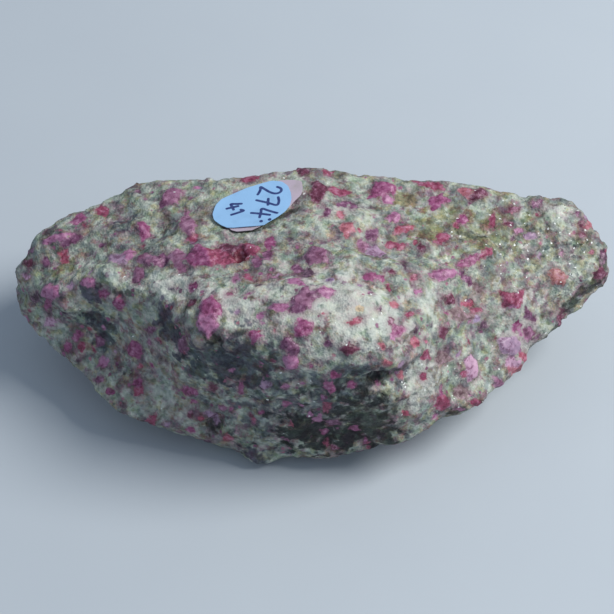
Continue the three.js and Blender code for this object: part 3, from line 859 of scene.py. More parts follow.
RUBIES = (
    Ruby((55, 237), 6.2, 1.9, 22, Tint.PINK),
    Ruby((79, 219), 4.0, 1.6, 28, Tint.MAGENTA),
    Ruby((103, 212), 2.6, 2.0, 20, Tint.CRIMSON),
    Ruby((72, 240), 4.0, 2.0, 30, Tint.PLUM),
    Ruby((65, 257), 2.6, 3.1, 20, Tint.RED),
    Ruby((30, 263), 3.0, 1.8, 10, Tint.WINE),
    Ruby((25, 276), 1.8, 1.1, 0, Tint.PALE),
    Ruby((45, 262), 1.6, 2.2, 20, Tint.PLUM),
    Ruby((30, 250), 2.2, 1.4, 50, Tint.PLUM),
    Ruby((143, 230), 2.9, 3.6, 20, Tint.MAGENTA),
    Ruby((118, 258), 4.0, 2.6, 12, Tint.LILAC),
    Ruby((128, 255), 3.0, 1.9, 20, Tint.PINK),
    Ruby((146, 259), 5.4, 3.1, -4, Tint.MAUVE, 0.3),
    Ruby((160, 260), 4.0, 3.2, 20, Tint.PLUM, 0.3),
    Ruby((138, 274), 3.4, 2.4, 75, Tint.MAUVE),
    Ruby((172, 195), 4.8, 3.1, 25, Tint.MAUVE),
    Ruby((166, 203), 3.0, 1.6, 40, Tint.PLUM),
    Ruby((88, 282), 3.1, 1.8, 0, Tint.PINK),
    Ruby((70, 286), 2.6, 1.7, 20, Tint.LILAC),
    Ruby((48, 293), 4.4, 3.5, 10, Tint.PINK),
    Ruby((47, 305), 1.4, 2.4, 0, Tint.MAGENTA),
    Ruby((35, 297), 1.4, 2.2, 0, Tint.DARK),
    Ruby((104, 294), 2.4, 2.2, 40, Tint.MAGENTA),
    Ruby((118, 305), 2.6, 3.1, 30, Tint.MAGENTA),
    Ruby((50, 322), 4.0, 1.8, 12, Tint.PALE),
    Ruby((78, 335), 2.6, 1.8, 0, Tint.MAGENTA),
    Ruby((83, 346), 1.8, 1.8, 0, Tint.CRIMSON),
    Ruby((68, 347), 2.2, 1.8, 20, Tint.MAGENTA),
    Ruby((100, 340), 1.8, 2.2, 0, Tint.PLUM),
    Ruby((134, 350), 2.9, 3.5, 40, Tint.MAGENTA),
    Ruby((150, 330), 2.6, 1.3, 10, Tint.PLUM),
    Ruby((102, 362), 2.6, 2.0, 20, Tint.PINK),
    Ruby((137, 382), 2.6, 2.0, 30, Tint.MAGENTA),
    Ruby((139, 391), 2.4, 1.7, 10, Tint.CRIMSON),
    Ruby((141, 367), 1.3, 1.1, 0, Tint.RED),
    Ruby((100, 380), 1.8, 1.4, 0, Tint.PLUM),
    Ruby((110, 392), 1.8, 1.4, 30, Tint.MAGENTA),
    Ruby((183, 343), 2.6, 4.4, 0, Tint.PLUM),
    Ruby((187, 226), 6.6, 3.2, 100, Tint.MAUVE, 0.3),
    Ruby((192, 238), 2.4, 2.0, 30, Tint.CRIMSON),
    Ruby((180, 267), 2.4, 2.2, 0, Tint.MAUVE),
    Ruby((250, 178), 4.0, 1.5, 5, Tint.CRIMSON),
    Ruby((302, 169), 3.1, 1.8, 0, Tint.WINE),
    Ruby((197, 254), 5.6, 4.2, 0, Tint.MAGENTA, 0.3),
    Ruby((218, 255), 5.4, 4.0, -6, Tint.CRIMSON, 0.2),
    Ruby((250, 250), 4.4, 3.6, -20, Tint.CRIMSON, 0.2),
    Ruby((230, 250), 5.4, 3.2, 0, Tint.WINE, 0.1),
    Ruby((240, 256), 6.4, 3.6, -14, Tint.PIT, 0.9),
    Ruby((256, 262), 1.8, 2.6, 20, Tint.PLUM),
    Ruby((224, 262), 4.0, 1.6, -12, Tint.CRIMSON, 0.2),
    Ruby((318, 190), 4.6, 4.4, 20, Tint.WINE, 0.3),
    Ruby((338, 192), 4.4, 1.9, -6, Tint.CRIMSON),
    Ruby((270, 243), 3.1, 1.8, 50, Tint.MAGENTA),
    Ruby((268, 256), 1.8, 2.6, 15, Tint.PLUM),
    Ruby((236, 279), 1.8, 1.8, 0, Tint.MAUVE),
    Ruby((248, 278), 2.2, 1.7, -20, Tint.CRIMSON),
    Ruby((316, 254), 4.4, 4.4, 50, Tint.MAUVE, 0.28),
    Ruby((297, 268), 1.7, 2.4, 20, Tint.PLUM),
    Ruby((308, 274), 2.6, 1.7, 0, Tint.DARK),
    Ruby((328, 172), 2.6, 1.3, 0, Tint.CRIMSON),
    Ruby((382, 190), 5.6, 4.4, 30, Tint.MAGENTA, 0.3),
    Ruby((388, 199), 2.2, 2.0, 0, Tint.PINK),
    Ruby((343, 204), 3.1, 1.3, 10, Tint.PLUM),
    Ruby((353, 206), 1.8, 1.7, 0, Tint.PLUM),
    Ruby((328, 212), 1.7, 1.7, 0, Tint.PLUM),
    Ruby((340, 216), 1.6, 1.9, 10, Tint.CORAL),
    Ruby((347, 229), 2.8, 3.2, 20, Tint.CORAL),
    Ruby((372, 234), 2.6, 2.7, 40, Tint.PLUM),
    Ruby((394, 217), 3.6, 2.5, 0, Tint.PINK),
    Ruby((403, 229), 5.0, 2.0, 16, Tint.RED, 0.3),
    Ruby((396, 245), 5.2, 1.8, -8, Tint.CRIMSON),
    Ruby((422, 247), 1.8, 1.9, 0, Tint.WINE),
    Ruby((437, 203), 4.6, 2.7, 25, Tint.MAGENTA),
    Ruby((442, 238), 3.0, 1.7, 25, Tint.CRIMSON, 0.3),
    Ruby((462, 220), 2.4, 1.9, 30, Tint.MAGENTA),
    Ruby((456, 227), 1.3, 1.1, 0, Tint.CRIMSON),
    Ruby((432, 186), 6.2, 1.4, -8, Tint.CRIMSON),
    Ruby((362, 245), 2.2, 3.0, 20, Tint.MAUVE),
    Ruby((374, 252), 4.0, 2.2, -10, Tint.LILAC),
    Ruby((370, 276), 3.4, 1.9, 16, Tint.MAGENTA),
    Ruby((381, 278), 2.4, 1.6, -30, Tint.MAGENTA),
    Ruby((388, 285), 2.2, 1.0, -62, Tint.CRIMSON),
    Ruby((329, 280), 1.3, 0.9, 0, Tint.VIOLET),
    Ruby((404, 264), 0.9, 1.8, 0, Tint.DARK),
    Ruby((446, 274), 5.2, 2.2, 8, Tint.PINK, 0.3),
    Ruby((470, 261), 6.0, 1.6, 24, Tint.MAGENTA, 0.25),
    Ruby((486, 253), 3.8, 2.2, 24, Tint.CRIMSON, 0.28),
    Ruby((414, 278), 1.3, 1.1, 0, Tint.CRIMSON),
    Ruby((479, 193), 4.4, 2.4, 0, Tint.WINE, 0.3),
    Ruby((466, 191), 3.0, 1.8, -10, Tint.CORAL),
    Ruby((512, 210), 3.1, 0.9, 4, Tint.WINE),
    Ruby((537, 204), 2.2, 1.4, 10, Tint.PLUM),
    Ruby((538, 213), 1.4, 1.3, 0, Tint.CRIMSON),
    Ruby((493, 222), 1.4, 3.0, 0, Tint.CRIMSON),
    Ruby((505, 225), 3.1, 0.9, 0, Tint.WINE),
    Ruby((519, 230), 1.8, 1.1, 0, Tint.PINK),
    Ruby((530, 236), 2.2, 1.3, 0, Tint.LILAC),
    Ruby((468, 280), 3.0, 1.6, -45, Tint.PLUM),
    Ruby((477, 287), 2.6, 1.7, -50, Tint.BROWN),
    Ruby((558, 278), 4.0, 3.2, -20, Tint.BRICK, 0.2),
    Ruby((600, 274), 3.0, 2.2, 20, Tint.WINE),
    Ruby((603, 258), 1.3, 2.8, 0, Tint.DARK),
    Ruby((583, 224), 2.2, 1.4, 30, Tint.WINE),
    Ruby((591, 223), 1.8, 1.5, 0, Tint.CORAL),
    Ruby((582, 235), 1.8, 1.4, 20, Tint.WINE),
    Ruby((514, 297), 4.6, 4.4, 20, Tint.CRIMSON, 0.32),
    Ruby((513, 304), 2.6, 2.0, 0, Tint.PINK, 0.34),
    Ruby((209, 306), 4.6, 4.2, 80, Tint.MAGENTA, 0.34),
    Ruby((207, 322), 5.0, 4.6, 84, Tint.PINK, 0.34),
    Ruby((194, 286), 2.0, 1.6, 50, Tint.MAGENTA),
    Ruby((192, 302), 1.8, 1.8, 0, Tint.WINE),
    Ruby((261, 317), 2.3, 1.3, 6, Tint.PINK),
    Ruby((237, 313), 1.4, 0.9, 20, Tint.LILAC),
    Ruby((281, 307), 4.0, 2.7, 10, Tint.PINK, 0.3),
    Ruby((303, 298), 5.0, 4.4, 60, Tint.MAUVE, 0.3),
    Ruby((298, 307), 3.4, 3.0, 10, Tint.PLUM, 0.25),
    Ruby((296, 282), 3.1, 1.7, 0, Tint.PINK),
    Ruby((323, 291), 4.3, 2.4, 4, Tint.PINK, 0.34),
    Ruby((303, 328), 4.4, 3.3, 25, Tint.MAGENTA, 0.3),
    Ruby((290, 348), 3.6, 4.4, 4, Tint.PLUM, 0.3),
    Ruby((291, 363), 3.0, 3.4, 10, Tint.PINK, 0.3),
    Ruby((255, 337), 2.6, 2.4, 30, Tint.MAGENTA, 0.3),
    Ruby((311, 364), 1.1, 1.3, 0, Tint.MAGENTA),
    Ruby((285, 386), 1.8, 1.3, 0, Tint.PINK),
    Ruby((265, 385), 2.2, 1.8, 0, Tint.LILAC),
    Ruby((287, 403), 1.8, 1.7, 0, Tint.MAGENTA),
    Ruby((301, 405), 1.1, 0.9, 0, Tint.PINK),
    Ruby((262, 412), 1.1, 0.9, 0, Tint.MAGENTA),
    Ruby((350, 350), 3.6, 2.6, -6, Tint.WINE, 0.3),
    Ruby((356, 321), 3.2, 1.2, 14, Tint.RED, 0.3),
    Ruby((336, 376), 2.2, 1.5, 10, Tint.MAGENTA),
    Ruby((329, 386), 2.0, 2.6, 0, Tint.MAGENTA, 0.3),
    Ruby((352, 385), 1.7, 1.3, 0, Tint.MAGENTA),
    Ruby((323, 398), 0.9, 1.1, 0, Tint.PINK),
    Ruby((326, 407), 2.2, 2.6, 0, Tint.CRIMSON),
    Ruby((318, 419), 2.2, 1.7, 20, Tint.PINK),
    Ruby((333, 421), 3.0, 1.8, 0, Tint.PLUM),
    Ruby((325, 432), 1.4, 1.3, 0, Tint.MAGENTA),
    Ruby((327, 444), 1.3, 2.2, 0, Tint.CRIMSON),
    Ruby((334, 448), 2.6, 1.7, 0, Tint.WINE),
    Ruby((355, 429), 1.8, 1.0, 0, Tint.MAGENTA),
    Ruby((365, 441), 0.9, 1.3, 0, Tint.MAGENTA),
    Ruby((369, 446), 1.7, 1.2, 0, Tint.CRIMSON),
    Ruby((229, 438), 1.8, 1.7, 0, Tint.RED),
    Ruby((394, 305), 2.0, 1.1, -25, Tint.CORAL),
    Ruby((379, 309), 0.9, 0.9, 0, Tint.DARK),
    Ruby((410, 314), 1.3, 0.9, 0, Tint.CRIMSON),
    Ruby((391, 321), 1.1, 1.4, 10, Tint.WINE),
    Ruby((398, 330), 2.4, 2.5, 30, Tint.MAGENTA),
    Ruby((394, 337), 1.4, 1.3, 0, Tint.PINK),
    Ruby((415, 342), 1.6, 2.1, 10, Tint.RED),
    Ruby((416, 330), 0.9, 1.8, 0, Tint.DARK),
    Ruby((381, 346), 1.3, 1.8, 20, Tint.CORAL),
    Ruby((389, 364), 2.0, 1.4, 0, Tint.CORAL),
    Ruby((402, 375), 1.7, 1.7, 0, Tint.CORAL),
    Ruby((407, 414), 1.9, 1.6, 20, Tint.RED),
    Ruby((434, 415), 1.1, 1.7, 0, Tint.PINK),
    Ruby((450, 298), 2.5, 2.5, 0, Tint.WINE, 0.34),
    Ruby((467, 304), 2.4, 1.5, 6, Tint.RED, 0.3),
    Ruby((479, 310), 2.6, 1.6, -6, Tint.CRIMSON),
    Ruby((419, 291), 1.8, 1.3, 0, Tint.PINK),
    Ruby((447, 313), 1.1, 0.9, 0, Tint.MAGENTA),
    Ruby((444, 333), 1.8, 2.6, 0, Tint.WINE),
    Ruby((483, 325), 2.0, 2.4, 10, Tint.DARK),
    Ruby((477, 319), 1.4, 1.7, 0, Tint.VIOLET),
    Ruby((462, 315), 5.4, 2.6, -14, Tint.BROWN, 0.15),
    Ruby((531, 317), 2.2, 3.4, 10, Tint.PLUM, 0.3),
    Ruby((529, 333), 2.6, 2.6, 0, Tint.MAUVE),
    Ruby((515, 326), 0.9, 3.2, -14, Tint.MAGENTA),
    Ruby((524, 337), 3.4, 1.0, -48, Tint.PINK),
    Ruby((511, 346), 4.6, 4.4, 30, Tint.LILAC, 0.28),
    Ruby((512, 362), 2.8, 3.6, -10, Tint.PALE, 0.25),
    Ruby((524, 357), 1.8, 2.4, 20, Tint.RED, 0.3),
    Ruby((516, 370), 3.0, 1.8, 30, Tint.CORAL, 0.25),
    Ruby((471, 367), 5.2, 2.9, 96, Tint.PALE, 0.4),
    Ruby((458, 366), 1.3, 2.2, 0, Tint.BROWN),
    Ruby((425, 355), 1.8, 2.0, 0, Tint.CRIMSON),
    Ruby((443, 359), 3.0, 2.4, 0, Tint.BROWN, 0.15),
    Ruby((424, 376), 1.6, 1.8, 0, Tint.CRIMSON),
    Ruby((442, 403), 3.6, 3.2, 80, Tint.CRIMSON, 0.36),
    Ruby((441, 391), 1.2, 2.6, 0, Tint.MAGENTA, 0.3),
    Ruby((475, 403), 2.4, 1.8, 0, Tint.CRIMSON),
    Ruby((459, 409), 2.2, 0.9, 0, Tint.MAUVE),
    Ruby((462, 392), 3.0, 3.0, 0, Tint.BROWN, 0.15),
    Ruby((499, 384), 2.2, 2.2, 0, Tint.MAUVE),
    Ruby((463, 374), 1.6, 1.4, 0, Tint.CRIMSON),
    Ruby((150, 422), 2.0, 1.5, 0, Tint.CRIMSON),
    Ruby((187, 391), 3.6, 1.8, -10, Tint.MAGENTA),
    Ruby((194, 402), 1.8, 1.5, 0, Tint.MAGENTA),
    Ruby((190, 415), 0.9, 1.4, 0, Tint.WINE),
    Ruby((190, 431), 1.8, 1.3, 0, Tint.MAGENTA),
    Ruby((214, 388), 1.8, 1.8, 0, Tint.WINE),
    Ruby((241, 389), 1.3, 2.6, 0, Tint.MAGENTA),
    Ruby((222, 407), 1.4, 1.2, 0, Tint.MAUVE),
    Ruby((313, 294), 3.4, 2.6, 20, Tint.PLUM, 0.3),
    Ruby((178, 256), 3.0, 2.6, 0, Tint.MAUVE, 0.25),
)

# Patches of mineral colour; those marked below are painted shade or painted light instead, wholly or in
# part.
STAINS_AND_SHADES = (
    StainOrShade((352, 302), 27.0, 16.0, -14, MineralOrShade.PALE, 0.86),
    StainOrShade((300, 318), 12.0, 7.0, -10, MineralOrShade.PALE, 0.7),
    StainOrShade((324, 352), 12.0, 9.0, 30, MineralOrShade.PALE, 0.5),
    StainOrShade((236, 308), 15.0, 10.0, -30, MineralOrShade.PALE, 0.85),
    StainOrShade((290, 288), 20.0, 7.0, -10, MineralOrShade.PALE, 0.55),
    StainOrShade((140, 283), 24.0, 5.0, -3, MineralOrShade.PALE, 0.55),
    # Painted light on the next patch: paler rock lifting a facet turned from the light.
    StainOrShade((180, 288), 11.0, 7.0, -20, MineralOrShade.PALE, 0.8),
    StainOrShade((355, 215), 12.0, 8.0, 10, MineralOrShade.PALE, 0.5),
    StainOrShade((430, 300), 14.0, 9.0, 0, MineralOrShade.PALE, 0.5),
    StainOrShade((560, 215), 10.0, 6.0, -40, MineralOrShade.PALE, 0.5),
    StainOrShade((250, 414), 9.0, 7.0, 50, MineralOrShade.PALE, 0.35),
    StainOrShade((320, 405), 11.0, 4.0, -10, MineralOrShade.PALE, 0.5),
    StainOrShade((52, 325), 5.0, 2.4, 12, MineralOrShade.PALE, 0.8),
    StainOrShade((145, 350), 8.0, 12.0, 0, MineralOrShade.PALE, 0.35),
    StainOrShade((165, 400), 18.0, 9.0, -30, MineralOrShade.PALE, 0.42),
    StainOrShade((522, 338), 14.0, 14.0, 40, MineralOrShade.PALE, 0.62),
    StainOrShade((420, 380), 8.0, 14.0, 0, MineralOrShade.PALE, 0.6),
    StainOrShade((326, 372), 13.0, 7.0, -16, MineralOrShade.PALE, 0.42),
    StainOrShade((558, 282), 10.0, 12.0, 40, MineralOrShade.PALE, 0.35),
    StainOrShade((476, 232), 26.0, 12.0, 10, MineralOrShade.OLIVE, 0.6),
    StainOrShade((405, 200), 5.0, 4.0, 0, MineralOrShade.OLIVE, 0.9),
    StainOrShade((430, 234), 8.0, 3.0, 14, MineralOrShade.OLIVE, 0.9),
    StainOrShade((500, 195), 7.0, 3.0, -10, MineralOrShade.OLIVE, 0.7),
    StainOrShade((205, 215), 16.0, 10.0, 0, MineralOrShade.OLIVE, 0.4),
    StainOrShade((62, 268), 6.0, 2.6, 0, MineralOrShade.OLIVE, 0.6),
    StainOrShade((588, 250), 5.0, 8.0, 0, MineralOrShade.OLIVE, 0.5),
    StainOrShade((466, 300), 7.0, 5.0, 0, MineralOrShade.TAN, 0.3),
    StainOrShade((586, 297), 6.0, 3.0, 40, MineralOrShade.TAN, 0.4),
    StainOrShade((240, 268), 5.5, 1.2, -14, MineralOrShade.TAN, 0.4),
    StainOrShade((360, 309), 2.0, 1.7, 0, MineralOrShade.TAN, 1.0),
    StainOrShade((330, 234), 3.0, 1.6, 0, MineralOrShade.TAN, 0.4),
    StainOrShade((210, 412), 3.0, 2.0, 0, MineralOrShade.TAN, 0.4),
    # The next seventeen patches, bluish grey: partly grey rock, partly painted shade on the front faces
    # turned from the light.
    StainOrShade((102, 328), 9.0, 8.0, -30, MineralOrShade.SLATE_AND_SHADE, 0.8),
    StainOrShade((200, 360), 12.0, 8.0, -40, MineralOrShade.SLATE_AND_SHADE, 0.85),
    StainOrShade((238, 362), 16.0, 12.0, -30, MineralOrShade.SLATE_AND_SHADE, 1.0),
    StainOrShade((268, 345), 8.0, 6.0, 0, MineralOrShade.SLATE_AND_SHADE, 0.5),
    StainOrShade((272, 385), 9.0, 7.0, 0, MineralOrShade.SLATE_AND_SHADE, 0.6),
    StainOrShade((128, 222), 9.0, 3.0, 20, MineralOrShade.SLATE_AND_SHADE, 0.6),
    StainOrShade((172, 228), 5.0, 4.0, 20, MineralOrShade.SLATE_AND_SHADE, 0.5),
    StainOrShade((215, 405), 6.0, 10.0, 10, MineralOrShade.SLATE_AND_SHADE, 0.4),
    StainOrShade((350, 390), 18.0, 13.0, -20, MineralOrShade.SLATE_AND_SHADE, 0.7),
    StainOrShade((308, 425), 38.0, 17.0, 4, MineralOrShade.SLATE_AND_SHADE, 0.6),
    StainOrShade((120, 366), 24.0, 15.0, -40, MineralOrShade.SLATE_AND_SHADE, 0.28),
    StainOrShade((60, 315), 12.0, 8.0, -40, MineralOrShade.SLATE_AND_SHADE, 0.25),
    StainOrShade((336, 362), 7.0, 3.0, 0, MineralOrShade.SLATE_AND_SHADE, 0.4),
    StainOrShade((444, 345), 9.0, 7.0, 0, MineralOrShade.SLATE_AND_SHADE, 0.45),
    StainOrShade((480, 236), 9.0, 2.0, 4, MineralOrShade.SLATE_AND_SHADE, 0.6),
    StainOrShade((550, 235), 10.0, 7.0, 0, MineralOrShade.SLATE_AND_SHADE, 0.35),
    StainOrShade((567, 275), 12.0, 8.0, 0, MineralOrShade.SLATE_AND_SHADE, 0.3),
    # The next seven patches: dark hornblende-rich rock on the front faces and in their hollows, darkened
    # further by painted shade.
    StainOrShade((378, 382), 9.0, 5.0, -20, MineralOrShade.DARK, 0.42),
    StainOrShade((362, 416), 15.5, 16.0, 0, MineralOrShade.DARK, 0.74),
    StainOrShade((306, 391), 8.0, 4.4, -10, MineralOrShade.DARK, 0.5),
    StainOrShade((314, 432), 18.0, 11.0, 10, MineralOrShade.DARK, 0.85),
    StainOrShade((345, 432), 18.0, 9.0, 0, MineralOrShade.DARK, 0.7),
    StainOrShade((373, 430), 10.0, 10.0, 0, MineralOrShade.DARK, 0.95),
    StainOrShade((214, 423), 7.6, 5.6, -20, MineralOrShade.DARK, 0.56),
    # The next three patches: painted shade under the edge of the front ridge.
    StainOrShade((217, 339), 5.4, 2.8, -20, MineralOrShade.DARK, 0.95),
    StainOrShade((240, 332), 5.4, 2.6, 0, MineralOrShade.DARK, 0.55),
    StainOrShade((126, 293), 7.0, 1.7, -6, MineralOrShade.DARK, 0.75),
    StainOrShade((330, 317), 2.4, 1.6, -20, MineralOrShade.DARK, 0.5),
    # The next two patches: painted shadow under the lifted lower edges of the blue label.
    StainOrShade((246, 230), 11.0, 1.5, 2, MineralOrShade.DARK, 0.85),
    StainOrShade((277, 218), 8.4, 1.4, 40, MineralOrShade.DARK, 0.85),
    StainOrShade((190, 305), 4.0, 1.6, 60, MineralOrShade.DARK, 0.6),
    # The next two patches: painted shade on the undersides of overhanging lower edges.
    StainOrShade((560, 325), 12.0, 1.8, 40, MineralOrShade.DARK, 0.8),
    StainOrShade((455, 413), 7.0, 1.4, 14, MineralOrShade.DARK, 0.8),
    # The next three patches: painted shade in the crease between the left and middle front faces, under the
    # left ledge and under the front foot.
    StainOrShade((172, 333), 14.0, 5.0, -62, MineralOrShade.VIOLET, 0.85),
    StainOrShade((90, 293), 6.0, 3.6, -50, MineralOrShade.VIOLET, 1.0),
    StainOrShade((252, 455), 9.0, 3.2, -32, MineralOrShade.VIOLET, 0.8),
    StainOrShade((228, 357), 8.0, 6.0, 0, MineralOrShade.VIOLET, 0.5),
    StainOrShade((284, 415), 7.0, 6.0, 0, MineralOrShade.VIOLET, 0.4),
    StainOrShade((62, 312), 8.0, 2.4, 0, MineralOrShade.VIOLET, 0.5),
    StainOrShade((120, 378), 7.0, 4.0, -40, MineralOrShade.VIOLET, 0.4),
    StainOrShade((475, 345), 6.0, 4.4, 0, MineralOrShade.VIOLET, 0.3),
    # The next five patches: coarser grains, and more of the painted highlights.
    StainOrShade((550, 250), 28.0, 20.0, 0, MineralOrShade.GLITTER, 0.7),
    StainOrShade((404, 383), 5.0, 3.0, 70, MineralOrShade.GLITTER, 1.0),
    StainOrShade((493, 337), 3.0, 4.0, 0, MineralOrShade.GLITTER, 0.8),
    StainOrShade((460, 380), 16.0, 12.0, 0, MineralOrShade.GLITTER, 0.4),
    StainOrShade((420, 398), 3.0, 2.0, 0, MineralOrShade.GLITTER, 0.8),
)


@dataclass
class Stone:
    """The whole lump: rock and crystals in one skin, in millimetres."""

    node: str = "stone"
    slot: str = "rock"
    voxel: float = 0.535
    melt_passes: int = 6
    melt_share: float = 0.55
    last_melt: float = 0.35
    chips: tuple[Chips, ...] = (Chips(5.4, 0.08, 0.22), Chips(2.5, 0.1, 0.12), Chips(1.3, 0.13, 0.07))
    ripple_size: float = 0.9
    ripple: float = 0.06
    foot_flat: tuple[float, float] = (0.3, 1.4)
    label_share: float = 0.2
    sides: tuple[int, int] = (4, 6)
    corner_wander: float = 0.3
    corner_reach: float = 1.24
    crystal_lean: float = 0.11
    crystal_depth: tuple[float, float] = (0.55, 0.8)
    crystal_search: tuple[float, float] = (1.3, 1.6)
    tint_reach: float = 1.5
    rim: float = 0.7
    flatness: float = 0.6
    deepest_cut: float = 1.2
    proud_share: float = 0.45
    least_patch: float = 1.2
    stain_lobes: tuple[float, float] = (2.2, 0.9)
    fine_lobe: float = 0.6
    stain_wander: float = 0.8
    stain_fade: tuple[float, float] = (1.3, 0.5)
    stain_search: float = 1.7
    scatters: tuple[Scatter, ...] = (
        Scatter(300, (0.7, 1.5), 0.1, in_sight=True),
        Scatter(210, (1.6, 4.6), 0.28, in_sight=False),
    )
    slimness: tuple[float, float] = (0.5, 0.95)
    common_tints: tuple[Tint, ...] = (
        Tint.LILAC, Tint.PINK, Tint.MAGENTA, Tint.MAUVE, Tint.PLUM, Tint.RED, Tint.CRIMSON, Tint.WINE,
        Tint.DARK,
    )
    seed: int = 5
    finish: StoneFinish = field(default_factory=StoneFinish)
    draw: random.Random = field(init=False)
    view: PictureView = field(init=False)
    tree: BVHTree = field(init=False)

    def build(self, view: PictureView, seats: Sequence["Seat"]) -> bpy.types.Object:
        """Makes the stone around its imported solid.

        Args:
            view: How the picture sees the specimen.
            seats: Where the labels lie, to keep the rock low there.

        Returns:
            The finished piece.
        """
        self.draw = random.Random(self.seed)
        skin = Skin(self.remeshed())
        skin.smooth(self.melt_passes, self.melt_share)
        self.view = view
        self.tree = skin.tree()
        edge = np.full(len(skin.points), FAR)
        tint = np.tile(linear(Tint.MAUVE.value)[:3], (len(skin.points), 1))
        shift = np.zeros_like(skin.points)
        base = skin.normals
        self.roughen(skin, seats)
        for ruby, footing in self.all_rubies(skin, base):
            self.grow(skin, ruby, footing, edge, tint, shift)
        skin.points += shift
        skin.points[:, 2] = np.maximum(skin.points[:, 2], 0.0)
        skin.write()
        stains = self.stained_and_shaded(skin, base)
        store(skin.piece.data, "ruby_edge", edge)
        store(skin.piece.data, "ruby_tint", tint)
        for index, three in enumerate(np.split(stains, STAIN_SETS, axis=1)):
            store(skin.piece.data, f"stain_{index}", three)
        skin.piece.data.shade_smooth()
        skin.piece.data.materials.append(self.finish.material())
        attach(skin.piece, BODY)
        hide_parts(self.node)
        return skin.piece

    def remeshed(self) -> bpy.types.Object:
        """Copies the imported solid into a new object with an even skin.

        Returns:
            The object; its mesh holds small quads only.
        """
        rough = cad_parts[self.node].data.copy()
        rough.materials.clear()
        piece = bpy.data.objects.new("ruby_zoisite_stone", rough)
        bpy.context.scene.collection.objects.link(piece)
        remesh = piece.modifiers.new("even_skin", "REMESH")
        remesh.mode = "VOXEL"
        remesh.voxel_size = self.voxel * MM
        dressed = piece.evaluated_get(bpy.context.evaluated_depsgraph_get())
        even = bpy.data.meshes.new_from_object(dressed)
        piece.modifiers.clear()
        piece.data = even
        return piece

    def roughen(self, skin: Skin, seats: Sequence["Seat"]) -> None:
        """Breaks the skin into leaning chips at several scales with fine roughness over them.

        Args:
            skin: The stone's skin, which is changed.
            seats: Where the labels lie.
        """
        scatter = np.random.default_rng(self.seed)
        area = len(skin.faces) * self.voxel ** 2
        lift = np.zeros(len(skin.points))
        for chips in self.chips:
            count = int(area / chips.width ** 2)
            seeds = skin.points[scatter.choice(len(skin.points), count, replace=False)]
            tree = KDTree(count)
            for index, seed in enumerate(seeds):
                tree.insert(seed, index)
            tree.balance()
            nearest = np.array([tree.find(point)[1] for point in skin.points])
            leans = scatter.normal(0.0, chips.lean, (count, 3))
            steps = scatter.uniform(-chips.step, chips.step, count)
            slope = ((skin.points - seeds[nearest]) * leans[nearest]).sum(axis=1)
            lift += np.clip(slope, -chips.step, chips.step) + steps[nearest]
        lift += self.ripple * lumps(skin.points, self.ripple_size)
        foot = smoothstep(*self.foot_flat, skin.points[:, 2])
        under = np.zeros(len(skin.points))
        for seat in seats:
            under = np.maximum(under, seat.cover(skin.points))
        lift *= foot * (1 - under * (1 - self.label_share))
        skin.points += skin.normals * lift[:, None]
        skin.smooth(1, self.last_melt)

    def all_rubies(self, skin: Skin, base: np.ndarray) -> list[tuple[Ruby, Footing]]:
        """Lists every crystal with its seat: the spread ones first, then those of the picture.

        Args:
            skin: The stone's skin.
            base: The skin's normals before it was roughened.

        Returns:
            Pairs of crystal and seat.
        """
        pairs = []
        in_sight = (base @ -self.view.forward) > self.view.flattest
        for scatter in self.scatters:
            for _ in range(scatter.count):
                spot = self.draw.randrange(len(skin.points))
                length = self.draw.uniform(*scatter.lengths)
                width = length * self.draw.uniform(*self.slimness)
                turn = self.draw.uniform(0, 180)
                tint = self.draw.choice(self.common_tints)
                underfoot = skin.points[spot, 2] < self.foot_flat[1]
                if underfoot or (in_sight[spot] and not scatter.in_sight):
                    continue
                ruby = Ruby((0, 0), length, width, turn, tint, scatter.proud)
                pairs.append((ruby, self.footing_at(skin.points[spot], base[spot], ruby)))
        for ruby in RUBIES:
            footing = self.footing_seen(skin, base, ruby)
            if footing is None:
                log.info("the crystal at %s misses the stone", ruby.at)
            else:
                pairs.append((ruby, footing))
        return pairs

    def footing_at(self, place: np.ndarray, normal: np.ndarray, mark: Mark) -> Footing:
        """Seats a mark at a place of the skin by its real size.

        Args:
            place: The place.
            normal: The skin's normal there.
            mark: The mark.

        Returns:
            Its seat.
        """
        level = unit(np.cross(np.array([0.0, 0.0, 1.0]), normal) + np.array([1e-6, 0.0, 0.0]))
        upward = np.cross(normal, level)
        turn = math.radians(mark.turn)
        along = level * math.cos(turn) + upward * math.sin(turn)
        across = np.cross(normal, along)
        return Footing(place, normal, along * mark.length / 2, across * mark.width / 2)

    def footing_seen(self, skin: Skin, base: np.ndarray, mark: Mark) -> Footing | None:
        """Seats a mark where the picture shows it.

        Args:
            skin: The stone's skin.
            base: The skin's normals before it was roughened.
            mark: The mark.

        Returns:
            Its seat, or None where the line of sight misses the stone.
        """
        hit = self.tree.ray_cast(Vector(self.view.eye), Vector(self.view.sight(mark.at)))
        if hit[0] is None:
            return None
        middle = np.array(hit[0])
        close = skin.near(middle, max(self.least_patch, mark.width / 2))
        normal = unit(base[close].mean(axis=0)) if len(close) else np.array(hit[1])
        axes = []
        for turn, size in ((mark.turn, mark.length), (mark.turn + 90, mark.width)):
            angle = math.radians(turn)
            reach = size / 2 / self.view.point_size
            end = (mark.at[0] + math.cos(angle) * reach, mark.at[1] - math.sin(angle) * reach)
            axis = self.view.on_plane(end, middle, normal) - middle
            axes.append(axis * min(1.0, size / np.linalg.norm(axis)))
        return Footing(middle, normal, *axes)

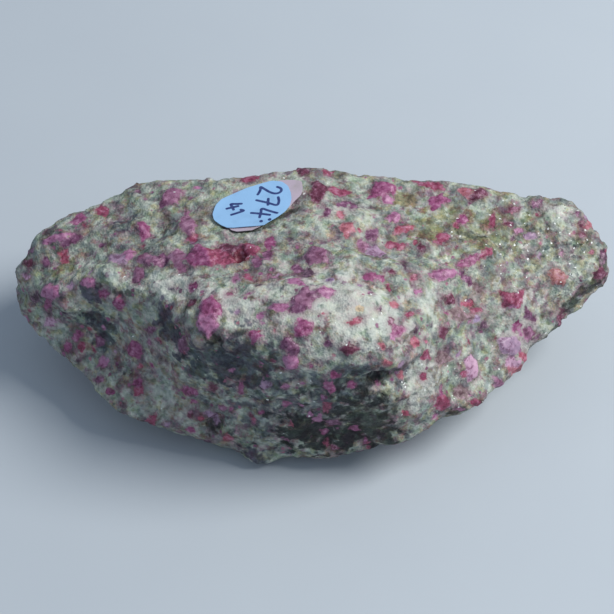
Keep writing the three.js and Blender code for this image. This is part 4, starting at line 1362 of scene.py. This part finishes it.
    def grow(self, skin: Skin, ruby: Ruby, footing: Footing, edge: np.ndarray, tint: np.ndarray,
             shift: np.ndarray) -> None:
        """Marks the skin that a crystal takes up, and flattens it there to the crystal's own face.

        Args:
            skin: The stone's skin.
            ruby: The crystal.
            footing: Its seat.
            edge: Each point's distance to the nearest crystal's edge, negative inside; it is changed.
            tint: The nearest crystal's tint at each point; it is changed.
            shift: How far each point moves; it is changed.
        """
        count = self.draw.randint(*self.sides)
        start = self.draw.uniform(0, math.tau)
        wander = self.corner_wander
        angles = [start + (i + self.draw.uniform(-wander, wander)) * math.tau / count for i in range(count)]
        sizes = [self.corner_reach + self.draw.uniform(-wander, wander) / 2 for _ in range(count)]
        lean = np.array([self.draw.gauss(0, self.crystal_lean) for _ in range(3)])
        share, margin = self.crystal_search
        chosen = skin.near(footing.middle, footing.reach * share + margin)
        if not len(chosen):
            return
        first = unit(footing.along)
        second = unit(np.cross(footing.normal, first))
        offset = skin.points[chosen] - footing.middle
        flat = np.stack([offset @ first, offset @ second], axis=1)
        spokes = [footing.along * math.cos(angle) + footing.across * math.sin(angle) for angle in angles]
        corners = np.array([
            [spoke @ axis * size for axis in (first, second)] for spoke, size in zip(spokes, sizes)])
        sides = np.roll(corners, -1, axis=0) - corners
        outward = unit(np.stack([sides[:, 1], -sides[:, 0]], axis=1))
        outward *= np.sign((outward * corners).sum(axis=1, keepdims=True))
        distance = (flat @ outward.T - (outward * corners).sum(axis=1)).max(axis=1)
        depth = np.abs(offset @ footing.normal)
        share, margin = self.crystal_depth
        distance = np.maximum(distance, depth - (margin + footing.reach * share))
        nearer = distance < np.minimum(edge[chosen], self.tint_reach)
        chosen = chosen[nearer]
        edge[chosen] = distance[nearer]
        tint[chosen] = linear(ruby.tint.value)[:3]
        face = unit(footing.normal + lean)
        height = offset[nearer] @ face
        cut = self.flatness * np.clip(height, -self.deepest_cut, self.deepest_cut)
        lift = smoothstep(0.0, -self.rim, distance[nearer]) * (self.proud_share * ruby.proud - cut)
        shift[chosen] = footing.normal * lift[:, None]

    def stained_and_shaded(self, skin: Skin, base: np.ndarray) -> np.ndarray:
        """Gives each point its share of every mineral and of the painted shade and highlights.

        Args:
            skin: The stone's skin.
            base: The skin's normals before it was roughened.

        Returns:
            One column for each kind of patch, mineral or painted shade, and empty ones after them.
        """
        shares = np.zeros((len(skin.points), 3 * STAIN_SETS))
        wide, fine = self.stain_lobes
        wobble = lumps(skin.points, wide) + self.fine_lobe * lumps(skin.points, fine)
        for stain in STAINS_AND_SHADES:
            footing = self.footing_seen(skin, base, stain)
            if footing is None:
                log.info("the stain at %s misses the stone", stain.at)
                continue
            chosen = skin.near(footing.middle, footing.reach * self.stain_search)
            offset = skin.points[chosen] - footing.middle
            out = np.hypot(*(offset @ axis / (axis @ axis) for axis in (footing.along, footing.across)))
            ragged = out + self.stain_wander * wobble[chosen]
            share = stain.strength * smoothstep(*self.stain_fade, ragged)
            shares[chosen, stain.mineral.value] = np.maximum(shares[chosen, stain.mineral.value], share)
        return shares


@dataclass(frozen=True)
class Seat:
    """The flat place of a label, read from its packed plate: axes along, across and up, in millimetres."""

    middle: np.ndarray
    axes: np.ndarray
    outline: np.ndarray
    fade: tuple[float, float] = (1.25, 0.95)
    depth: float = 4.0

    @classmethod
    def of(cls, node: str) -> "Seat":
        """Reads the seat of a packed plate.

        Args:
            node: The plate's node.

        Returns:
            The seat.
        """
        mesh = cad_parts[node].data
        points = np.array([vertex.co for vertex in mesh.vertices], dtype=float) / MM
        middle = points.mean(axis=0)
        up = np.linalg.svd(points - middle)[2][2]
        up = up * np.sign(up[2])
        along = unit(np.array([1.0, 0.0, 0.0]) - up * up[0])
        axes = np.stack([along, np.cross(up, along), up])
        local = (points - middle) @ axes.T
        top = np.unique(local[local[:, 2] > 0][:, :2].round(3), axis=0)
        order = np.argsort(np.arctan2(top[:, 1], top[:, 0]))
        return cls(middle, axes, top[order])

    def cover(self, points: np.ndarray) -> np.ndarray:
        """Tells how far the label covers points of the stone.

        Args:
            points: The points.

        Returns:
            A share for each, from 0 outside the label to 1 under it.
        """
        local = (points - self.middle) @ self.axes.T
        half = np.abs(self.outline).max(axis=0)
        out = np.hypot(local[:, 0] / half[0], local[:, 1] / half[1])
        return smoothstep(*self.fade, out) * (np.abs(local[:, 2]) < self.depth)

    def to_world(self, local: np.ndarray) -> np.ndarray:
        """Turns places on the seat into places in the specimen's frame."""
        return local @ self.axes + self.middle


GLYPHS: dict[str, tuple[tuple[Point, ...], ...]] = {
    "1": (((0.2, 0.78), (0.5, 1.0), (0.5, 0.5), (0.48, 0.0)),),
    "2": (((0.05, 0.78), (0.2, 0.97), (0.55, 1.0), (0.8, 0.82), (0.7, 0.56), (0.38, 0.3), (0.02, 0.02),
           (0.4, 0.08), (0.9, 0.0)),),
    "4": (((0.52, 1.02), (0.28, 0.62), (0.0, 0.28), (0.5, 0.32), (1.0, 0.3)),
          ((0.72, 0.72), (0.62, 0.3), (0.56, -0.1))),
    "7": (((0.0, 0.92), (0.45, 1.0), (0.92, 0.96), (0.62, 0.55), (0.36, 0.0)),
          ((0.18, 0.5), (0.82, 0.54))),
}


@dataclass(frozen=True)
class Writing:
    """A few plain digits by hand: where the first stands on the label, their size and their direction."""

    digits: str
    start: Point
    height: float
    advance: float
    turn: float
    digit_share: float = 0.86

    def strokes(self) -> list[np.ndarray]:
        """Gives the pen's lines on the label.

        Returns:
            Each line's points, in millimetres.
        """
        angle = math.radians(self.turn)
        along = np.array([math.cos(angle), math.sin(angle)])
        upward = np.array([-along[1], along[0]])
        lines = []
        for index, digit in enumerate(self.digits):
            corner = np.array(self.start) + along * self.advance * index
            for stroke in GLYPHS[digit]:
                shape = np.array(stroke)
                sideways = shape[:, :1] * along * self.advance * self.digit_share
                line = corner + sideways + shape[:, 1:] * upward * self.height
                lines.append(rounded(line, closed=False, passes=2))
        return lines


def rounded(line: np.ndarray, closed: bool, passes: int, cut_share: float = 0.25) -> np.ndarray:
    """Cuts the corners of a line over and over, so that it runs round.

    Args:
        line: The line's points.
        closed: Whether the last point joins the first.
        passes: How many times the corners are cut.
        cut_share: How much of each side a cut takes.

    Returns:
        The rounder line.
    """
    keep = 1 - cut_share
    for _ in range(passes):
        after = np.roll(line, -1, axis=0)
        pairs = np.stack([line * keep + after * cut_share, line * cut_share + after * keep], axis=1)
        cut = pairs.reshape(-1, 2)
        line = cut if closed else np.concatenate([line[:1], cut[1:-3], line[-1:]])
    return line


def lumps(places: np.ndarray, size: float) -> np.ndarray:
    """Gives smooth noise around 0 at some places, with lumps of the given size."""
    return np.array([noise.noise(Vector(place) / size) for place in places])


def distance_to_line(places: np.ndarray, line: np.ndarray) -> np.ndarray:
    """Measures how far places are from an open line.

    Args:
        places: The places, one a row.
        line: The line's points.

    Returns:
        The distance of each place.
    """
    best = np.full(len(places), np.inf)
    for start, end in zip(line[:-1], line[1:]):
        side = end - start
        share = np.clip((places - start) @ side / max(side @ side, 1e-9), 0, 1)
        best = np.minimum(best, np.linalg.norm(places - start - share[:, None] * side, axis=1))
    return best


@dataclass
class PaperLabel:
    """A paper label cut out by hand, in millimetres, with what is written on it."""

    name: str
    node: str
    slot: str
    finish: PaperFinish
    drop: float
    thickness: float = 0.14
    spacing: float = 0.24
    wave: float = 0.05
    wave_size: float = 5.0
    noise_levels: tuple[float, float] = (7.0, 31.0)
    edge_lift: float = 0.14
    lift_width: float = 1.8
    lift_middle: float = 0.5
    lift_most: float = 1.2
    corner_cut: float = 0.15
    clear_border: float = 0.6
    dot_radius: float = 0.1
    writing: tuple[Writing, ...] = ()
    dots: tuple[Point, ...] = ()
    seat: Seat = field(init=False)

    def __post_init__(self) -> None:
        """Reads where the label lies."""
        self.seat = Seat.of(self.node)

    def build(self) -> bpy.types.Object:
        """Makes the label as a thin sheet with a real edge.

        Returns:
            The finished piece.
        """
        outline = rounded(self.seat.outline, closed=True, passes=1, cut_share=self.corner_cut)
        border = self.resampled(outline)
        places, faces = self.filled(border)
        ring = len(border)
        heights = self.heights(places, outline)
        top = np.column_stack([places, heights + self.thickness / 2])
        bottom = np.column_stack([places, heights - self.thickness / 2])
        count = len(places)
        polygons = [tuple(face) for face in faces]
        polygons += [tuple(count + i for i in reversed(face)) for face in faces]
        polygons += [(i, i + count, (i + 1) % ring + count, (i + 1) % ring) for i in range(ring)]
        mesh = bpy.data.meshes.new(self.name)
        points = self.seat.to_world(np.concatenate([top, bottom])) * MM
        mesh.from_pydata(points.tolist(), [], polygons)
        ink = self.ink(places)
        store(mesh, "ink_distance", np.concatenate([ink, np.full(count, FAR)]))
        mesh.materials.append(self.finish.material())
        piece = bpy.data.objects.new(self.name, mesh)
        bpy.context.scene.collection.objects.link(piece)
        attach(piece, BODY)
        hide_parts(self.node)
        return piece

    def resampled(self, outline: np.ndarray) -> np.ndarray:
        """Spaces points evenly along the closed outline.

        Args:
            outline: The outline's corners.

        Returns:
            The points.
        """
        closed = np.concatenate([outline, outline[:1]])
        runs = np.concatenate([[0.0], np.cumsum(np.linalg.norm(np.diff(closed, axis=0), axis=1))])
        steps = np.linspace(0, runs[-1], int(runs[-1] / self.spacing), endpoint=False)
        return np.stack([np.interp(steps, runs, closed[:, axis]) for axis in (0, 1)], axis=1)

    def filled(self, border: np.ndarray) -> tuple[np.ndarray, list[list[int]]]:
        """Fills the outline with small triangles.

        Args:
            border: Points along the outline, in order.

        Returns:
            All points, those of the border first, and the triangles.
        """
        low, high = border.min(axis=0), border.max(axis=0)
        rows = np.arange(low[1], high[1], self.spacing * math.sqrt(3) / 2)
        grid = np.array([
            (x, y) for index, y in enumerate(rows)
            for x in np.arange(low[0] + (index % 2) * self.spacing / 2, high[0], self.spacing)])
        following = np.roll(border, -1, axis=0)
        crossing = np.zeros(len(grid), dtype=bool)
        for start, end in zip(border, following):
            between = (start[1] > grid[:, 1]) != (end[1] > grid[:, 1])
            slope = (end[0] - start[0]) / (end[1] - start[1] or 1e-9)
            crossing ^= between & (grid[:, 0] < start[0] + (grid[:, 1] - start[1]) * slope)
        closed = np.concatenate([border, border[:1]])
        inner = grid[crossing & (distance_to_line(grid, closed) > self.spacing * self.clear_border)]
        places = np.concatenate([border, inner])
        edges = [(i, (i + 1) % len(border)) for i in range(len(border))]
        made = delaunay_2d_cdt([Vector(place) for place in places], edges, [], 1, 1e-6)
        return np.array([tuple(place) for place in made[0]]), [list(face) for face in made[2]]

    def heights(self, places: np.ndarray, outline: np.ndarray) -> np.ndarray:
        """Gives the sheet's gentle waves, and its edges that come loose.

        Args:
            places: Places on the sheet.
            outline: Its outline.

        Returns:
            The height of each place over the seat.
        """
        closed = np.concatenate([outline, outline[:1]])
        edge = distance_to_line(places, closed)
        waves, loose = (
            lumps(np.column_stack([places, np.full(len(places), level)]), self.wave_size)
            for level in self.noise_levels)
        share = np.clip(self.lift_middle + loose, 0, self.lift_most)
        curl = smoothstep(self.lift_width, 0.0, edge) * self.edge_lift * share
        return self.drop + waves * self.wave + curl

    def ink(self, places: np.ndarray) -> np.ndarray:
        """Measures how far places are from the nearest pen line.

        Args:
            places: Places on the sheet.

        Returns:
            The distance of each place.
        """
        best = np.full(len(places), FAR)
        for text in self.writing:
            for stroke in text.strokes():
                best = np.minimum(best, distance_to_line(places, stroke))
        for dot in self.dots:
            away = np.linalg.norm(places - np.array(dot), axis=1) - self.dot_radius
            best = np.minimum(best, np.maximum(away, 0))
        return best


@dataclass
class Studio:
    """The plain floor and the soft light around the specimen, in millimetres and watts."""

    floor_half: float = 3000.0
    floor_finish: FloorFinish = field(default_factory=FloorFinish)
    key_at: tuple[float, float, float] = (560.0, 20.0, 655.0)
    key_size: float = 420.0
    key_power: float = 7.4
    key_color: tuple[float, float, float] = (1.0, 0.985, 0.96)
    sky: tuple[float, float, float] = (0.7, 0.82, 1.0)
    sky_strength: float = 0.46

    def build(self) -> bpy.types.Object:
        """Makes the floor, the light and the sky.

        Returns:
            The floor.
        """
        floor = self.floor()
        self.light()
        self.sky_light()
        return floor

    def floor(self) -> bpy.types.Object:
        """Makes the floor.

        Returns:
            The finished piece.
        """
        half = self.floor_half * MM
        corners = [(-half, -half, 0), (half, -half, 0), (half, half, 0), (-half, half, 0)]
        mesh = bpy.data.meshes.new("floor")
        mesh.from_pydata(corners, [], [(0, 1, 2, 3)])
        mesh.materials.append(self.floor_finish.material())
        piece = bpy.data.objects.new("floor", mesh)
        bpy.context.scene.collection.objects.link(piece)
        return piece

    def light(self) -> None:
        """Hangs up the soft light that throws the shadow."""
        lamp = bpy.data.lights.new("window", "AREA")
        lamp.shape = "DISK"
        lamp.size = self.key_size * MM
        lamp.energy = self.key_power
        lamp.color = self.key_color
        light = bpy.data.objects.new("window", lamp)
        light.location = Vector(self.key_at) * MM
        light.rotation_mode = "QUATERNION"
        light.rotation_quaternion = light.location.to_track_quat("Z", "Y")
        bpy.context.scene.collection.objects.link(light)

    def sky_light(self) -> None:
        """Makes the sky, which lights the shadow's side."""
        world = bpy.data.worlds.new("soft_sky")
        world.use_nodes = True
        background = world.node_tree.nodes["Background"]
        background.inputs["Color"].default_value = (*self.sky, 1.0)
        background.inputs["Strength"].default_value = self.sky_strength
        bpy.context.scene.world = world


OLD_PAPER = PaperFinish("old_paper", "b9aab8", "a39a9c")
BLUE_PAPER = PaperFinish("blue_paper", "93bde4", "86aed2")


def main() -> None:
    """Builds the specimen and its stage in order, and logs the points and faces of each piece."""
    logging.basicConfig(level=logging.INFO, format="%(message)s")
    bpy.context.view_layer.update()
    bpy.context.scene.view_settings.view_transform = "Standard"
    view = PictureView()
    view.place_camera()
    backing = PaperLabel("backing_label_paper", "backing_label", "old_paper", OLD_PAPER, drop=-0.04)
    number = PaperLabel(
        "number_label_paper", "number_label", "blue_paper", BLUE_PAPER, drop=-0.26, spacing=0.19,
        writing=(
            Writing("274", (0.7, 5.6), 5.0, 3.4, -98),
            Writing("41", (-6.4, 0.4), 3.0, 2.4, -70),
        ),
        dots=((3.0, -5.2), (1.2, -5.5)))
    report(Stone().build(view, (backing.seat, number.seat)))
    report(backing.build())
    report(number.build())
    report(Studio().build())


if __name__ == "__main__":
    main()
